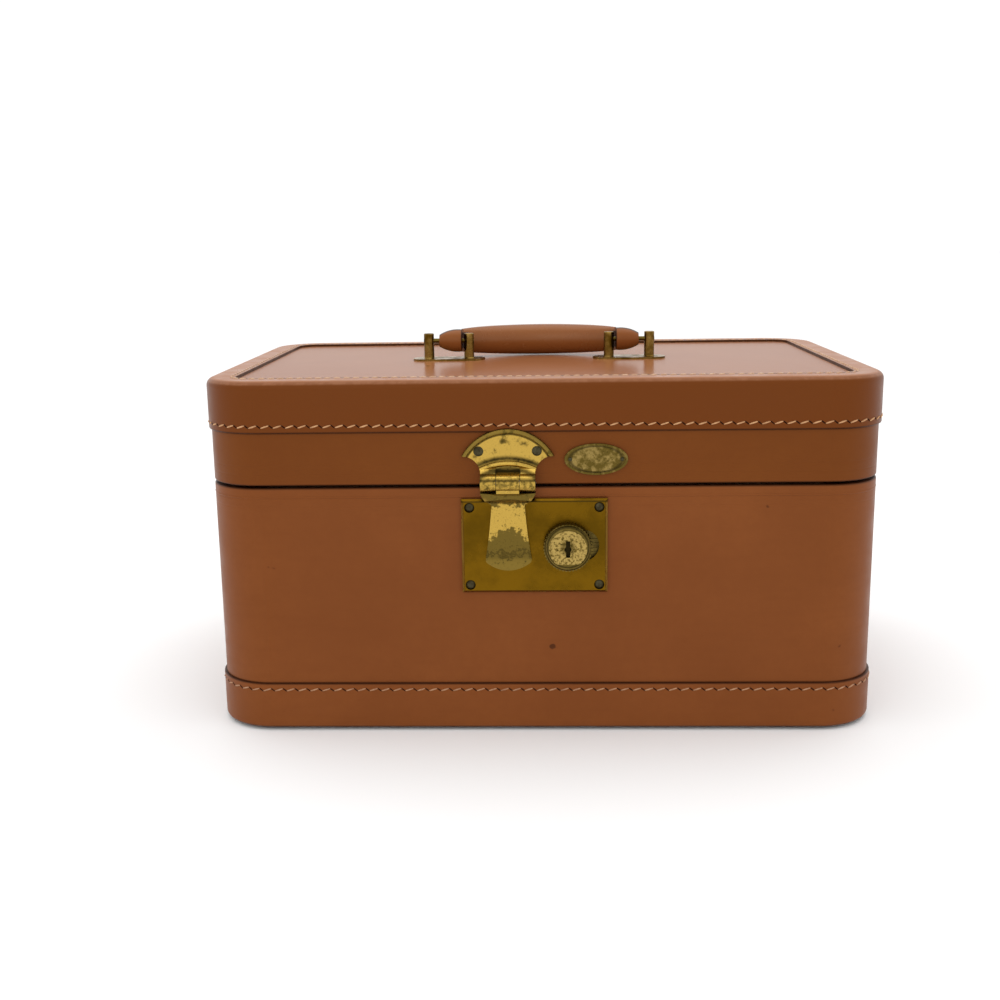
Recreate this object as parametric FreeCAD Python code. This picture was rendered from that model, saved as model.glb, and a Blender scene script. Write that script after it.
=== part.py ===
import FreeCAD, Part
import math
import os
from FreeCAD import Vector

# Leather-covered cosmetic train case with a hinged lid, a brass hasp lock and a folding handle.
# Millimetres. The origin is the middle of the underside, +X right, +Y to the back, +Z up.

# Case body
CASE_WIDTH = 330.0
CASE_DEPTH = 212.0
CASE_HEIGHT = 175.0
CORNER_RADIUS = 29.0
SEAM_HEIGHT = 124.0
SEAM_GAP = 1.2
RIM_ROUND = 0.9

# Leather, boards and linings, from the outside in
BINDING_THICKNESS = 1.2
COVER_THICKNESS = 1.2
LID_BOARD = 4.2
LID_LINING = 0.8
STRIP_CLEARANCE = 0.8
LINER = 2.0
FLOOR_BOARD = 5.0
TOP_BOARD = 5.0
INSIDE_CORNER_RADIUS = 14.0

# Strips along the inside walls that stand up from the base and guide the lid
STRIP_RISE_SHARE = 0.12745
STRIP_DEPTH = 10.0
STRIP_ROUND = 0.7
STRIP_END_MARGIN = 2.0

# Bottom band and bottom panel
BAND_TOP = 24.7
BAND_FLANGE = 12.0
BAND_EDGE_RADIUS = 2.5
BAND_LIP_ROUND = 0.4
BOTTOM_PANEL = 1.2
BOTTOM_PANEL_INSET = 6.0

# Lid binding and its top opening
BINDING_SHARE = 0.4843
LID_EDGE_RADIUS = 3.8
TOP_MARGIN = 15.0
TOP_OPENING_RADIUS = 10.0
PANEL_SKIRT = 2.0

# Mirror inside the lid
MIRROR_WIDTH = 220.0
MIRROR_DEPTH = 120.0
MIRROR_CORNER = 12.0
MIRROR_GLASS = 3.0
MIRROR_BACKING = 1.5
MIRROR_FRAME = 5.0
MIRROR_LIP = 2.0
MIRROR_LIP_THICKNESS = 1.0

# Rivets
RIVET_HEAD_RADIUS = 2.4
RIVET_HEAD_HEIGHT = 0.8
RIVET_SHANK_RADIUS = 1.1
RIVET_DEPTH = 3.5
FIT = 0.05

# Rear hinges
HINGE_SPACING_SHARE = 0.576
HINGE_WIDTH = 38.0
HINGE_LEAF_SHARE = 0.8
HINGE_LEAF = 1.2
HINGE_LEAF_CORNER = 4.0
HINGE_BARREL_RADIUS = 3.0
HINGE_PIN_RADIUS = 1.5
HINGE_PIN_HEAD = 0.8
HINGE_PIN_HEAD_RADIUS = 2.2
HINGE_STANDOFF = 0.25
HINGE_KNUCKLE = 14.0
HINGE_KNUCKLE_GAP = 0.25
HINGE_NOTCH_CLEARANCE = 0.4
HINGE_RIVET_SHARE = 0.57
HINGE_STAGGER_SHARE = 0.15
HINGE_RIVET_SPACING = 24.0
HINGE_HEAD_RADIUS = 2.0
LID_OPEN_ANGLE = 95.0

# Lid stays: a slotted bar on a lid pin, sliding on a stud in the base
STAY_FORWARD_SHARE = 0.48387
STAY_RISE_SHARE = 0.31373
STAY_BAR_WIDTH = 8.0
STAY_BAR = 1.2
STAY_WALL_GAP = 0.4
STAY_PIN_RADIUS = 2.0
STAY_HEAD_RADIUS = 3.4
STAY_HEAD = 1.0
STAY_SHOULDER_RADIUS = 3.2
STAY_SIDE_PLAY = 0.1
STAY_PIN_PLAY = 0.06
STAY_SLOT_PLAY = 0.25

# Lock plate on the front of the base: a shallow brass pan
LOCK_PLATE_X = -4.1
LOCK_PLATE_DROP = 29.1
LOCK_PLATE_WIDTH = 70.0
LOCK_PLATE_HEIGHT = 46.2
LOCK_PLATE_PROUD = 3.0
LOCK_PLATE_SHEET = 1.0
LOCK_PLATE_BEVEL = 1.2
LOCK_RIVET_SPACING_X = 62.0
LOCK_RIVET_SPACING_Z = 38.2
LOCK_RIVET_SINK = 0.2

# Steel back of the lock, ribbed where it shows through the end of the knob's slot
LOCK_BACK_WIDTH = 26.0
LOCK_BACK_HEIGHT = 22.0
LOCK_BACK_SHEET = 0.3
LOCK_BACK_MARGIN = 0.3
LOCK_RIB_COUNT = 7
LOCK_RIB_PITCH = 2.2
LOCK_RIB = 1.1
LOCK_RIB_RISE = 0.4

# Release knob, its key plug and the bolt behind the plate
KNOB_OFFSET_X = 15.9
KNOB_OFFSET_Z = 0.3
KNOB_RADIUS = 11.6
KNOB_HEIGHT = 7.2
KNOB_RIM_HEIGHT = 5.0
KNOB_RIM_FOOT = 1.0
KNOB_FOOT_RADIUS = 10.6
KNOB_COLLAR_RADIUS = 10.7
KNOB_COLLAR_DROP = 0.7
KNOB_FACE_RADIUS = 10.0
KNOB_SHANK_RADIUS = 7.6
KNOB_PLAY = 0.2
KNOB_LOCK_TRAVEL = 2.5
KNOB_DRAW_TRAVEL = 7.2
KNURL_COUNT = 44
KNURL_GROOVE_RADIUS = 0.45
PLUG_RADIUS = 9.0
PLUG_DEPTH = 2.0
PLUG_PROUD = 0.4
PLUG_FLAT_DROP = 7.4
KEYHOLE_WIDTH = 2.0
KEYHOLE_HEIGHT = 8.0
KEYHOLE_EYE_RADIUS = 1.6
KEYHOLE_DEPTH = 1.8
BOLT = 0.7
BOLT_HEIGHT = 9.0
BOLT_TAIL = 8.0
BOLT_PLAY = 0.15
BOLT_NOSE_GAP = 0.4

# Hasp hinge plate on the lid
HASP_X = -16.5
HASP_PIN_RISE = 2.3
FAN_SHEET = 1.4
FAN_HALF_WIDTH = 22.0
FAN_TIP_RISE = 14.7
FAN_TOP_RISE = 27.7
FAN_WAIST_HALF = 13.0
FAN_WAIST_RISE = 6.4
FAN_SIDE_SAG = 2.4
FAN_RIM_BEAD = 1.25
FAN_RIB_RADIUS = 31.4
FAN_RIB_TOP_RISE = 12.4
FAN_RIB_BEAD = 1.35
FAN_TAB = 0.8
FAN_TAB_RISE = 2.6
FAN_NOTCH_CLEARANCE = 0.15
FAN_RIVET_SPACING = 27.7
FAN_RIVET_RISE = 17.0
KNUCKLE_RADIUS = 4.4
KNUCKLE_WIDTH = 26.0
KNUCKLE_MIDDLE = 10.8
KNUCKLE_GAP = 0.25
KNUCKLE_STANDOFF = 0.3
HASP_PIN_RADIUS = 1.6
HASP_PIN_PLAY = 0.05
HASP_PIN_DOME = 0.5
WEB_RISE = 3.4

# Hasp: cupped head, waisted tongue and hooked staple behind it
HASP_HEAD_TOP_DROP = 4.7
HASP_HEAD_HALF = 13.2
HASP_HEAD_HEIGHT = 5.8
HASP_HEAD_CORNER = 3.2
HASP_BOWL_SHARE = 0.1
HASP_CROWN_LOW_SHARE = 0.42
HASP_CROWN_HIGH_SHARE = 0.5
HASP_HEAD_PROUD = 9.2
HASP_HEAD_SIDE_PROUD = 6.2
HASP_NECK_HALF = 7.9
HASP_TIP_HALF = 11.2
HASP_TIP_RISE = 4.0
HASP_TIP_ROUND = 2.0
HASP_BOTTOM_DROP = 40.0
HASP_FLARE_SAG = 0.4
HASP_SHEET = 1.5
HASP_PLATE_GAP = 0.6
HASP_CURL_HEIGHT = 6.0
HASP_CURL = 1.8
HASP_CURL_SHARE = 0.25
STAPLE_DROP = 28.8
STAPLE_HEIGHT = 5.0
STAPLE_NECK = 2.5
STAPLE_HOOK = 5.5
STAPLE_HOOK_THICKNESS = 0.7
STAPLE_WALL_GAP = 0.3
STAPLE_PLAY = 0.8

# Oval badge on the lid
BADGE_X = 25.4
BADGE_RISE_SHARE = 0.4829
BADGE_HEIGHT_SHARE = 0.5703
BADGE_WIDTH_SHARE = 2.0
BADGE_SHEET = 0.8
BADGE_RIM_WIDTH = 1.1
BADGE_RIM_RISE = 0.4
BADGE_PIN_SHARE = 0.82
BADGE_PIN_RADIUS = 0.9
BADGE_PIN_RISE = 0.4

# Handle mounts on the lid
HANDLE_X = -1.6
HANDLE_Y = 0.0
MOUNT_CENTRE_X = 49.4
MOUNT_LENGTH = 39.5
MOUNT_WIDTH = 15.0
MOUNT_SHEET = 1.0
MOUNT_END_SHARE = 0.49
POST_SPACING = 22.0
POST_RADIUS = 2.75
POST_HEIGHT = 13.5
POST_TOP_ROUND = 0.5
POST_FOOT_RADIUS = 3.1
POST_FOOT = 0.5
POST_SHANK_RADIUS = 1.8
ROD_RADIUS = 1.25
ROD_HEIGHT = 9.5

# Handle: core strap, leather grip and two leather noses
GRIP_END_X = 42.6
GRIP_END_REACH = 9.4
GRIP_REACH = 25.5
GRIP_MIDDLE_HIGH = 8.4
GRIP_MIDDLE_DEEP = 7.4
GRIP_END_HIGH = 6.3
GRIP_END_DEEP = 3.0
GRIP_SECTIONS = 9
GRIP_SWELL_POWER = 0.7
GRIP_LID_CLEARANCE = 0.35
CORE_THICKNESS = 2.2
CORE_WIDTH = 8.0
STRAP_INNER_X = 37.0
STRAP_INNER_REACH = 12.0
STRAP_OUTER_X = 47.0
STRAP_OUTER_REACH = 3.4
STRAP_WIDTH = 8.6
NOSE_INNER_X = 42.2
NOSE_OUTER_X = 54.5
NOSE_RADIUS = 6.0
NOSE_TIP_RADIUS = 3.3
NOSE_SHOULDER_RADIUS = 5.3
NOSE_SHOULDER_SHARE = 0.65
ROD_PLAY = 0.06

OVERRUN = 5.0
NEAR = 0.001

# Layers measured inwards from the outermost leather
cover_inset = BINDING_THICKNESS
board_inset = cover_inset + COVER_THICKNESS
lid_lining_inset = board_inset + LID_BOARD
lid_inside_inset = lid_lining_inset + LID_LINING
liner_inset = lid_inside_inset + STRIP_CLEARANCE
inside_inset = liner_inset + LINER

# Levels
shell_bottom = BOTTOM_PANEL + BINDING_THICKNESS
floor_top = shell_bottom + FLOOR_BOARD
base_rim = SEAM_HEIGHT - SEAM_GAP / 2
base_board_top = base_rim - COVER_THICKNESS
lid_rim = SEAM_HEIGHT + SEAM_GAP / 2
lid_board_bottom = lid_rim + COVER_THICKNESS
top_panel_level = CASE_HEIGHT - BINDING_THICKNESS
lid_board_top = top_panel_level - COVER_THICKNESS
lid_ceiling = lid_board_top - TOP_BOARD
lid_inside_top = lid_ceiling - LID_LINING
panel_skirt = CASE_HEIGHT - LID_EDGE_RADIUS - PANEL_SKIRT

# Heights and places that follow the seam, the lid's height or the case's width
lid_height = CASE_HEIGHT - SEAM_HEIGHT
strip_top = base_rim + lid_height * STRIP_RISE_SHARE
binding_bottom = CASE_HEIGHT - lid_height * BINDING_SHARE
lid_wall = binding_bottom - SEAM_HEIGHT
hinge_spacing = CASE_WIDTH * HINGE_SPACING_SHARE
hinge_leaf_height = lid_wall * HINGE_LEAF_SHARE
hinge_rivet_drop = lid_wall * HINGE_RIVET_SHARE
hinge_rivet_stagger = lid_wall * HINGE_STAGGER_SHARE
stay_forward = SEAM_HEIGHT * STAY_FORWARD_SHARE
stay_rise = lid_height * STAY_RISE_SHARE
lock_plate_z = SEAM_HEIGHT - LOCK_PLATE_DROP
staple_z = SEAM_HEIGHT - STAPLE_DROP
hasp_bottom_z = SEAM_HEIGHT - HASP_BOTTOM_DROP
hasp_pin_z = SEAM_HEIGHT + HASP_PIN_RISE
fan_waist_z = SEAM_HEIGHT + FAN_WAIST_RISE
fan_rib_top_z = SEAM_HEIGHT + FAN_RIB_TOP_RISE
fan_tip_z = SEAM_HEIGHT + FAN_TIP_RISE
fan_rivet_z = SEAM_HEIGHT + FAN_RIVET_RISE
fan_top_z = SEAM_HEIGHT + FAN_TOP_RISE
badge_z = SEAM_HEIGHT + lid_wall * BADGE_RISE_SHARE
badge_height = lid_wall * BADGE_HEIGHT_SHARE
badge_width = badge_height * BADGE_WIDTH_SHARE
badge_pin_spacing = badge_width * BADGE_PIN_SHARE

# Wall faces and axes
front_face = -(CASE_DEPTH / 2 - cover_inset)
back_face = CASE_DEPTH / 2 - cover_inset
hinge_y = back_face + HINGE_STANDOFF + HINGE_BARREL_RADIUS
hasp_pin_out = KNUCKLE_STANDOFF + KNUCKLE_RADIUS
pivot_z = top_panel_level + MOUNT_SHEET + ROD_HEIGHT
knob_x = LOCK_PLATE_X + KNOB_OFFSET_X
knob_z = lock_plate_z + KNOB_OFFSET_Z
SIDES = {"left": -1, "right": 1}

# Lock and hasp, measured out from the front leather
lock_cavity = LOCK_PLATE_PROUD - LOCK_PLATE_SHEET
hasp_back = LOCK_PLATE_PROUD + HASP_PLATE_GAP
hasp_front = hasp_back + HASP_SHEET
hasp_head_top = hasp_pin_z - HASP_HEAD_TOP_DROP
hasp_head_bottom = hasp_head_top - HASP_HEAD_HEIGHT
staple_width = STAPLE_NECK + STAPLE_HOOK
staple_left = HASP_X - staple_width / 2
staple_right = HASP_X + staple_width / 2

# Bow of the handle's grip, and the angle it hangs below level when it lies back
grip_sag = GRIP_REACH - GRIP_END_REACH
grip_bend = (GRIP_END_X ** 2 + grip_sag ** 2) / (2 * grip_sag)
grip_half_turn = math.asin(GRIP_END_X / grip_bend)
grip_room = MOUNT_SHEET + ROD_HEIGHT - GRIP_LID_CLEARANCE - GRIP_MIDDLE_HIGH
handle_drop = math.degrees(math.asin(grip_room / GRIP_REACH))


def rounded_rectangle(width, depth, radius, level):
    """Flat face with round corners, centred on the Z axis."""
    x, y = width / 2, depth / 2
    corner = radius * math.sqrt(0.5)
    edges = []
    for turn in range(4):
        half, other = (x, y) if turn % 2 == 0 else (y, x)
        start = Vector(half, -(other - radius), level)
        end = Vector(half, other - radius, level)
        middle = Vector(half - radius + corner, other - radius + corner, level)
        stop = Vector(half - radius, other, level)
        for edge in (Part.LineSegment(start, end), Part.Arc(end, middle, stop)):
            shape = edge.toShape()
            shape.rotate(Vector(0, 0, 0), Vector(0, 0, 1), turn * 90)
            edges.append(shape)
    return Part.Face(Part.Wire(Part.__sortEdges__(edges)))


def rounded_block(width, depth, radius, low, high):
    return rounded_rectangle(width, depth, radius, low).extrude(Vector(0, 0, high - low))


def case_block(inset, low, high):
    """The case's outline moved in by inset, between two levels."""
    return rounded_block(CASE_WIDTH - 2 * inset, CASE_DEPTH - 2 * inset, CORNER_RADIUS - inset, low, high)


def inside_block(inset, low, high):
    """The hollow's outline, with tighter corners than the case's, moved in from the boards by inset."""
    radius = INSIDE_CORNER_RADIUS - (inset - liner_inset)
    return rounded_block(CASE_WIDTH - 2 * inset, CASE_DEPTH - 2 * inset, radius, low, high)


def round_level(shape, radius, level):
    """Round the edges that lie at one level."""
    edges = []
    for edge in shape.Edges:
        box = edge.BoundBox
        if abs(box.ZMin - level) < NEAR and abs(box.ZMax - level) < NEAR:
            edges.append(edge)
    return shape.makeFillet(radius, edges)


def soft_topped_block(inset, low, high, radius):
    """A case block whose top edge is rounded."""
    return round_level(case_block(inset, low, high), radius, high)


def rod(radius, start, end):
    """Round bar between two points."""
    return Part.makeCylinder(radius, (end - start).Length, start, end - start)


def box_between(low, high):
    size = high - low
    return Part.makeBox(size.x, size.y, size.z, low)


def front_point(x, out, z):
    """Point at a distance out from the leather of the front wall."""
    return Vector(x, front_face - out, z)


def front_rod(radius, x, z, low, high):
    return rod(radius, front_point(x, low, z), front_point(x, high, z))


def front_slab(edges, low, high):
    """Solid of an outline drawn on the front wall, from one distance out to another."""
    face = Part.Face(Part.Wire(Part.__sortEdges__(edges)))
    face.translate(Vector(0, -low, 0))
    return face.extrude(Vector(0, low - high, 0))


def front_box(x, z, width, height, low, high):
    return box_between(front_point(x - width / 2, high, z - height / 2),
                       front_point(x + width / 2, low, z + height / 2))


def line(a, b):
    return Part.LineSegment(a, b).toShape()


def arc(a, middle, b):
    return Part.Arc(a, middle, b).toShape()


def midpoint(a, b):
    return (a + b) / 2


def polygon(points):
    return Part.Face(Part.makePolygon(points + points[:1]))


def front_revolve(points, x, z):
    """Turned piece standing out from the front wall; points are (radius, distance out)."""
    face = polygon([front_point(x + radius, out, z) for radius, out in points])
    return face.revolve(front_point(x, 0, z), Vector(0, 1, 0), 360)


def fuse_all(shapes):
    return shapes[0].multiFuse(shapes[1:]).removeSplitter()


def dome(base, direction, radius, height):
    """Rivet head: a round cap of a ball on a flat seat."""
    ball_radius = (radius * radius + height * height) / (2 * height)
    ball = Part.makeSphere(ball_radius, base + direction * (height - ball_radius))
    return ball.common(Part.makeCylinder(radius, height, base, direction))


def rivet(base, direction, head_radius, seat_depth):
    """Domed rivet whose shank goes back from its seat."""
    head = dome(base, direction, head_radius, RIVET_HEAD_HEIGHT)
    shank = rod(RIVET_SHANK_RADIUS, base, base - direction * seat_depth)
    return head.fuse(shank).removeSplitter()


def rivet_hole(base, direction, depth):
    start = base + direction * OVERRUN
    return rod(RIVET_SHANK_RADIUS + FIT, start, base - direction * (depth + FIT))


# Places of the fasteners

def lock_rivet_places():
    half_x, half_z = LOCK_RIVET_SPACING_X / 2, LOCK_RIVET_SPACING_Z / 2
    return [(LOCK_PLATE_X + side * half_x, lock_plate_z + up * half_z) for side in (-1, 1) for up in (-1, 1)]


def fan_rivet_places():
    return [(HASP_X + side * FAN_RIVET_SPACING / 2, fan_rivet_z) for side in (-1, 1)]


def badge_pin_places():
    return [(BADGE_X + side * badge_pin_spacing / 2, badge_z) for side in (-1, 1)]


def hinge_rivet_places(up):
    """Rivet places of both hinges, on the lid's leaves (up = 1) or the base's (up = -1)."""
    level = SEAM_HEIGHT + up * hinge_rivet_drop
    places = []
    for side in SIDES.values():
        for share in (-1, 0, 1):
            drop = 0 if share else -up * hinge_rivet_stagger
            x = side * hinge_spacing / 2 + share * HINGE_RIVET_SPACING / 2
            places.append(Vector(x, back_face + HINGE_LEAF, level + drop))
    return places


def post_places(side):
    return [Vector(HANDLE_X + side * (MOUNT_CENTRE_X + end * POST_SPACING / 2), HANDLE_Y, top_panel_level)
            for end in (-1, 1)]


def stay_points(side):
    """Lid pin and base stud of one stay, on the liner's inner face."""
    x = side * (CASE_WIDTH / 2 - inside_inset)
    y = hinge_y - stay_forward
    return Vector(x, y, SEAM_HEIGHT + stay_rise), Vector(x, y, SEAM_HEIGHT - stay_rise)


# Holes that the fasteners need in the walls

def base_wall_holes():
    forward = Vector(0, -1, 0)
    holes = [rivet_hole(front_point(x, 0, z), forward, RIVET_DEPTH) for x, z in lock_rivet_places()]
    for place in hinge_rivet_places(-1):
        holes.append(rivet_hole(place, Vector(0, 1, 0), RIVET_DEPTH + HINGE_LEAF))
    for side in SIDES.values():
        stud = stay_points(side)[1]
        reach = Vector(side * (LINER + RIVET_DEPTH + FIT), 0, 0)
        holes.append(rod(STAY_PIN_RADIUS + FIT, stud, stud + reach))
    return holes


def lid_wall_holes():
    forward = Vector(0, -1, 0)
    holes = [rivet_hole(front_point(x, 0, z), forward, RIVET_DEPTH) for x, z in fan_rivet_places()]
    for x, z in badge_pin_places():
        holes.append(front_rod(BADGE_PIN_RADIUS + FIT, x, z, -RIVET_DEPTH - FIT, OVERRUN))
    for place in hinge_rivet_places(1):
        holes.append(rivet_hole(place, Vector(0, 1, 0), RIVET_DEPTH + HINGE_LEAF))
    for side in SIDES.values():
        pin = stay_points(side)[0]
        inner = Vector(side * (CASE_WIDTH / 2 - lid_inside_inset), pin.y, pin.z)
        reach = Vector(side * (LID_LINING + RIVET_DEPTH + FIT), 0, 0)
        holes.append(rod(STAY_PIN_RADIUS + FIT, inner, inner + reach))
        for place in post_places(side):
            holes.append(rod(POST_SHANK_RADIUS + FIT, Vector(place.x, place.y, lid_ceiling),
                             place + Vector(0, 0, OVERRUN)))
    return holes


# Base

def base_shell():
    tub = case_block(board_inset, shell_bottom, base_board_top)
    foot = case_block(BAND_FLANGE, BOTTOM_PANEL, shell_bottom)
    hollow = inside_block(liner_inset, floor_top, base_board_top)
    return tub.fuse(foot).cut(hollow).cut(base_wall_holes()).removeSplitter()


def base_cover():
    outside = round_level(case_block(cover_inset, shell_bottom, base_rim), RIM_ROUND, base_rim)
    board = case_block(board_inset, shell_bottom, base_board_top)
    mouth = inside_block(liner_inset, base_board_top, base_rim)
    return outside.cut([board, mouth]).cut(base_wall_holes())


def base_binding():
    outside = case_block(0, BOTTOM_PANEL, BAND_TOP)
    outside = round_level(outside, BAND_EDGE_RADIUS, BOTTOM_PANEL)
    outside = round_level(outside, BAND_LIP_ROUND, BAND_TOP)
    wall = case_block(cover_inset, shell_bottom, BAND_TOP)
    middle = case_block(BAND_FLANGE, BOTTOM_PANEL, shell_bottom)
    return outside.cut([wall, middle])


def bottom_panel():
    return case_block(BOTTOM_PANEL_INSET, 0, BOTTOM_PANEL)


def base_lining():
    """Lining of the floor and walls, with a seat at the top of each wall for a guide strip."""
    tub = inside_block(liner_inset, floor_top, base_rim)
    hollow = inside_block(inside_inset, floor_top + LINER, base_rim)
    return tub.cut(hollow).cut(base_wall_holes() + [strip_box(turn) for turn in range(4)])


def strip_box(turn):
    """Upright strip in one wall's lining, short of its round corners; turn counts from the right wall."""
    half, other = (CASE_WIDTH / 2, CASE_DEPTH / 2) if turn % 2 == 0 else (CASE_DEPTH / 2, CASE_WIDTH / 2)
    end = other - CORNER_RADIUS - STRIP_END_MARGIN
    strip = box_between(Vector(half - inside_inset, -end, base_rim - STRIP_DEPTH),
                        Vector(half - liner_inset, end, strip_top))
    strip.rotate(Vector(0, 0, 0), Vector(0, 0, 1), turn * 90)
    return strip


def lid_guide_strips():
    return [round_level(strip_box(turn), STRIP_ROUND, strip_top) for turn in range(4)]


# Lid

def lid_shell():
    outside = soft_topped_block(board_inset, lid_board_bottom, lid_board_top, LID_EDGE_RADIUS - board_inset)
    hollow = case_block(lid_lining_inset, lid_board_bottom, lid_ceiling)
    return outside.cut(hollow).cut(lid_wall_holes())


def lid_cover():
    outside = round_level(case_block(cover_inset, lid_rim, panel_skirt), RIM_ROUND, lid_rim)
    board = case_block(board_inset, lid_board_bottom, panel_skirt)
    mouth = case_block(lid_lining_inset, lid_rim, lid_board_bottom)
    return outside.cut([board, mouth]).cut(lid_wall_holes())


def lid_top_panel():
    outside = soft_topped_block(cover_inset, panel_skirt, top_panel_level, LID_EDGE_RADIUS - cover_inset)
    board = soft_topped_block(board_inset, panel_skirt, lid_board_top, LID_EDGE_RADIUS - board_inset)
    return outside.cut(board).cut(lid_wall_holes())


def lid_binding():
    outside = soft_topped_block(0, binding_bottom, CASE_HEIGHT, LID_EDGE_RADIUS)
    outside = round_level(outside, BAND_LIP_ROUND, binding_bottom)
    inside = soft_topped_block(cover_inset, binding_bottom, top_panel_level, LID_EDGE_RADIUS - cover_inset)
    opening = rounded_block(CASE_WIDTH - 2 * TOP_MARGIN, CASE_DEPTH - 2 * TOP_MARGIN, TOP_OPENING_RADIUS,
                            top_panel_level, CASE_HEIGHT)
    notch = front_slab(fan_outline(FAN_NOTCH_CLEARANCE), 0, BINDING_THICKNESS + OVERRUN)
    return outside.cut([inside, opening, notch])


def lid_lining():
    outside = case_block(lid_lining_inset, lid_board_bottom, lid_ceiling)
    hollow = case_block(lid_inside_inset, lid_board_bottom, lid_inside_top)
    return outside.cut(hollow).cut(lid_wall_holes())


def mirror_parts():
    """Backing card, glass and frame, hung under the lid's lining."""
    card_low = lid_inside_top - MIRROR_BACKING
    glass_low = card_low - MIRROR_GLASS
    frame_low = glass_low - MIRROR_LIP_THICKNESS
    card = rounded_block(MIRROR_WIDTH, MIRROR_DEPTH, MIRROR_CORNER, card_low, lid_inside_top)
    glass = rounded_block(MIRROR_WIDTH, MIRROR_DEPTH, MIRROR_CORNER, glass_low, card_low)
    body = rounded_block(MIRROR_WIDTH + 2 * MIRROR_FRAME, MIRROR_DEPTH + 2 * MIRROR_FRAME,
                         MIRROR_CORNER + MIRROR_FRAME, frame_low, lid_inside_top)
    seat = rounded_block(MIRROR_WIDTH, MIRROR_DEPTH, MIRROR_CORNER, glass_low, lid_inside_top)
    window = rounded_block(MIRROR_WIDTH - 2 * MIRROR_LIP, MIRROR_DEPTH - 2 * MIRROR_LIP,
                           MIRROR_CORNER - MIRROR_LIP, frame_low, glass_low)
    frame = round_level(body, MIRROR_LIP_THICKNESS, frame_low).cut([seat, window])
    return {"mirror_backing": card, "mirror_glass": glass, "mirror_frame": frame}


# Rear hinges

def hinge_plate(x, up):
    """Flat leaf with two round outer corners, above (up = 1) or below the hinge line."""
    half = HINGE_WIDTH / 2
    face = rounded_rectangle(HINGE_WIDTH, 2 * hinge_leaf_height, HINGE_LEAF_CORNER, 0)
    leaf = face.extrude(Vector(0, 0, HINGE_LEAF))
    leaf.rotate(Vector(0, 0, 0), Vector(1, 0, 0), -90)
    leaf.translate(Vector(x, back_face, SEAM_HEIGHT))
    low = SEAM_HEIGHT if up > 0 else SEAM_HEIGHT - hinge_leaf_height
    near = Vector(x - half, back_face, low)
    far = Vector(x + half, back_face + HINGE_LEAF, low + hinge_leaf_height)
    return leaf.common(box_between(near, far))


def hinge_leaf(x, up):
    """Leaf with its barrel knuckles: the middle one on the lid, the two outer ones on the base."""
    half = HINGE_KNUCKLE / 2
    outer = HINGE_WIDTH / 2
    reach = HINGE_BARREL_RADIUS + HINGE_NOTCH_CLEARANCE
    middle = (x - half, x + half)
    outers = [(x - outer, x - half - HINGE_KNUCKLE_GAP), (x + half + HINGE_KNUCKLE_GAP, x + outer)]
    mine, theirs = ([middle], outers) if up > 0 else (outers, [middle])
    plate = hinge_plate(x, up)
    for start, end in theirs:
        low = Vector(start - HINGE_KNUCKLE_GAP, back_face, SEAM_HEIGHT - reach)
        high = Vector(end + HINGE_KNUCKLE_GAP, back_face + HINGE_LEAF, SEAM_HEIGHT + reach)
        plate = plate.cut(box_between(low, high))
    barrels = [rod(HINGE_BARREL_RADIUS, Vector(a, hinge_y, SEAM_HEIGHT), Vector(b, hinge_y, SEAM_HEIGHT))
               for a, b in mine]
    leaf = fuse_all([plate] + barrels)
    bore = rod(HINGE_PIN_RADIUS + FIT, Vector(x - HINGE_WIDTH, hinge_y, SEAM_HEIGHT),
               Vector(x + HINGE_WIDTH, hinge_y, SEAM_HEIGHT))
    leaf = leaf.cut(bore)
    return leaf.cut([rivet_hole(place, Vector(0, 1, 0), HINGE_LEAF) for place in hinge_rivet_places(up)])


def hinge_pin(x):
    half = HINGE_WIDTH / 2
    ends = [Vector(x + side * half, hinge_y, SEAM_HEIGHT) for side in (-1, 1)]
    heads = [rod(HINGE_PIN_HEAD_RADIUS, end, end + Vector(side * HINGE_PIN_HEAD, 0, 0))
             for side, end in zip((-1, 1), ends)]
    return fuse_all([rod(HINGE_PIN_RADIUS, *ends)] + heads)


def hinge_rivets(up):
    return [rivet(place, Vector(0, 1, 0), HINGE_HEAD_RADIUS, RIVET_DEPTH + HINGE_LEAF)
            for place in hinge_rivet_places(up)]


# Lid stays

def stay_span(angle):
    """Distance from the lid pin to the base stud with the lid open by an angle."""
    arm = math.hypot(stay_forward, stay_rise)
    rest = 2 * math.atan2(stay_rise, stay_forward)
    return 2 * arm * math.sin((rest + math.radians(angle)) / 2)


def stay_bar(side):
    """Flat bar hanging from the lid pin, with a slot for the stud from the shut to the open span."""
    pin = stay_points(side)[0]
    radius = STAY_BAR_WIDTH / 2
    slot_radius = STAY_PIN_RADIUS + STAY_SLOT_PLAY
    span = stay_span(LID_OPEN_ANGLE)
    inner = Vector(pin.x - side * STAY_WALL_GAP, pin.y, pin.z)
    through = Vector(-side * STAY_BAR, 0, 0)

    def stadium(size, top, bottom):
        ends = [rod(size, inner + Vector(0, 0, -level), inner + Vector(0, 0, -level) + through)
                for level in (top, bottom)]
        corner = inner + Vector(0, -size, -bottom)
        opposite = inner + through + Vector(0, size, -top)
        low = Vector(min(corner.x, opposite.x), corner.y, corner.z)
        high = Vector(max(corner.x, opposite.x), opposite.y, opposite.z)
        return fuse_all([box_between(low, high)] + ends)

    bar = stadium(radius, 0, span + radius)
    eye = rod(STAY_PIN_RADIUS + STAY_PIN_PLAY, inner, inner + through)
    slot = stadium(slot_radius, stay_span(0) - STAY_SLOT_PLAY, span + STAY_SLOT_PLAY)
    return bar.cut([eye, slot])


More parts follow.
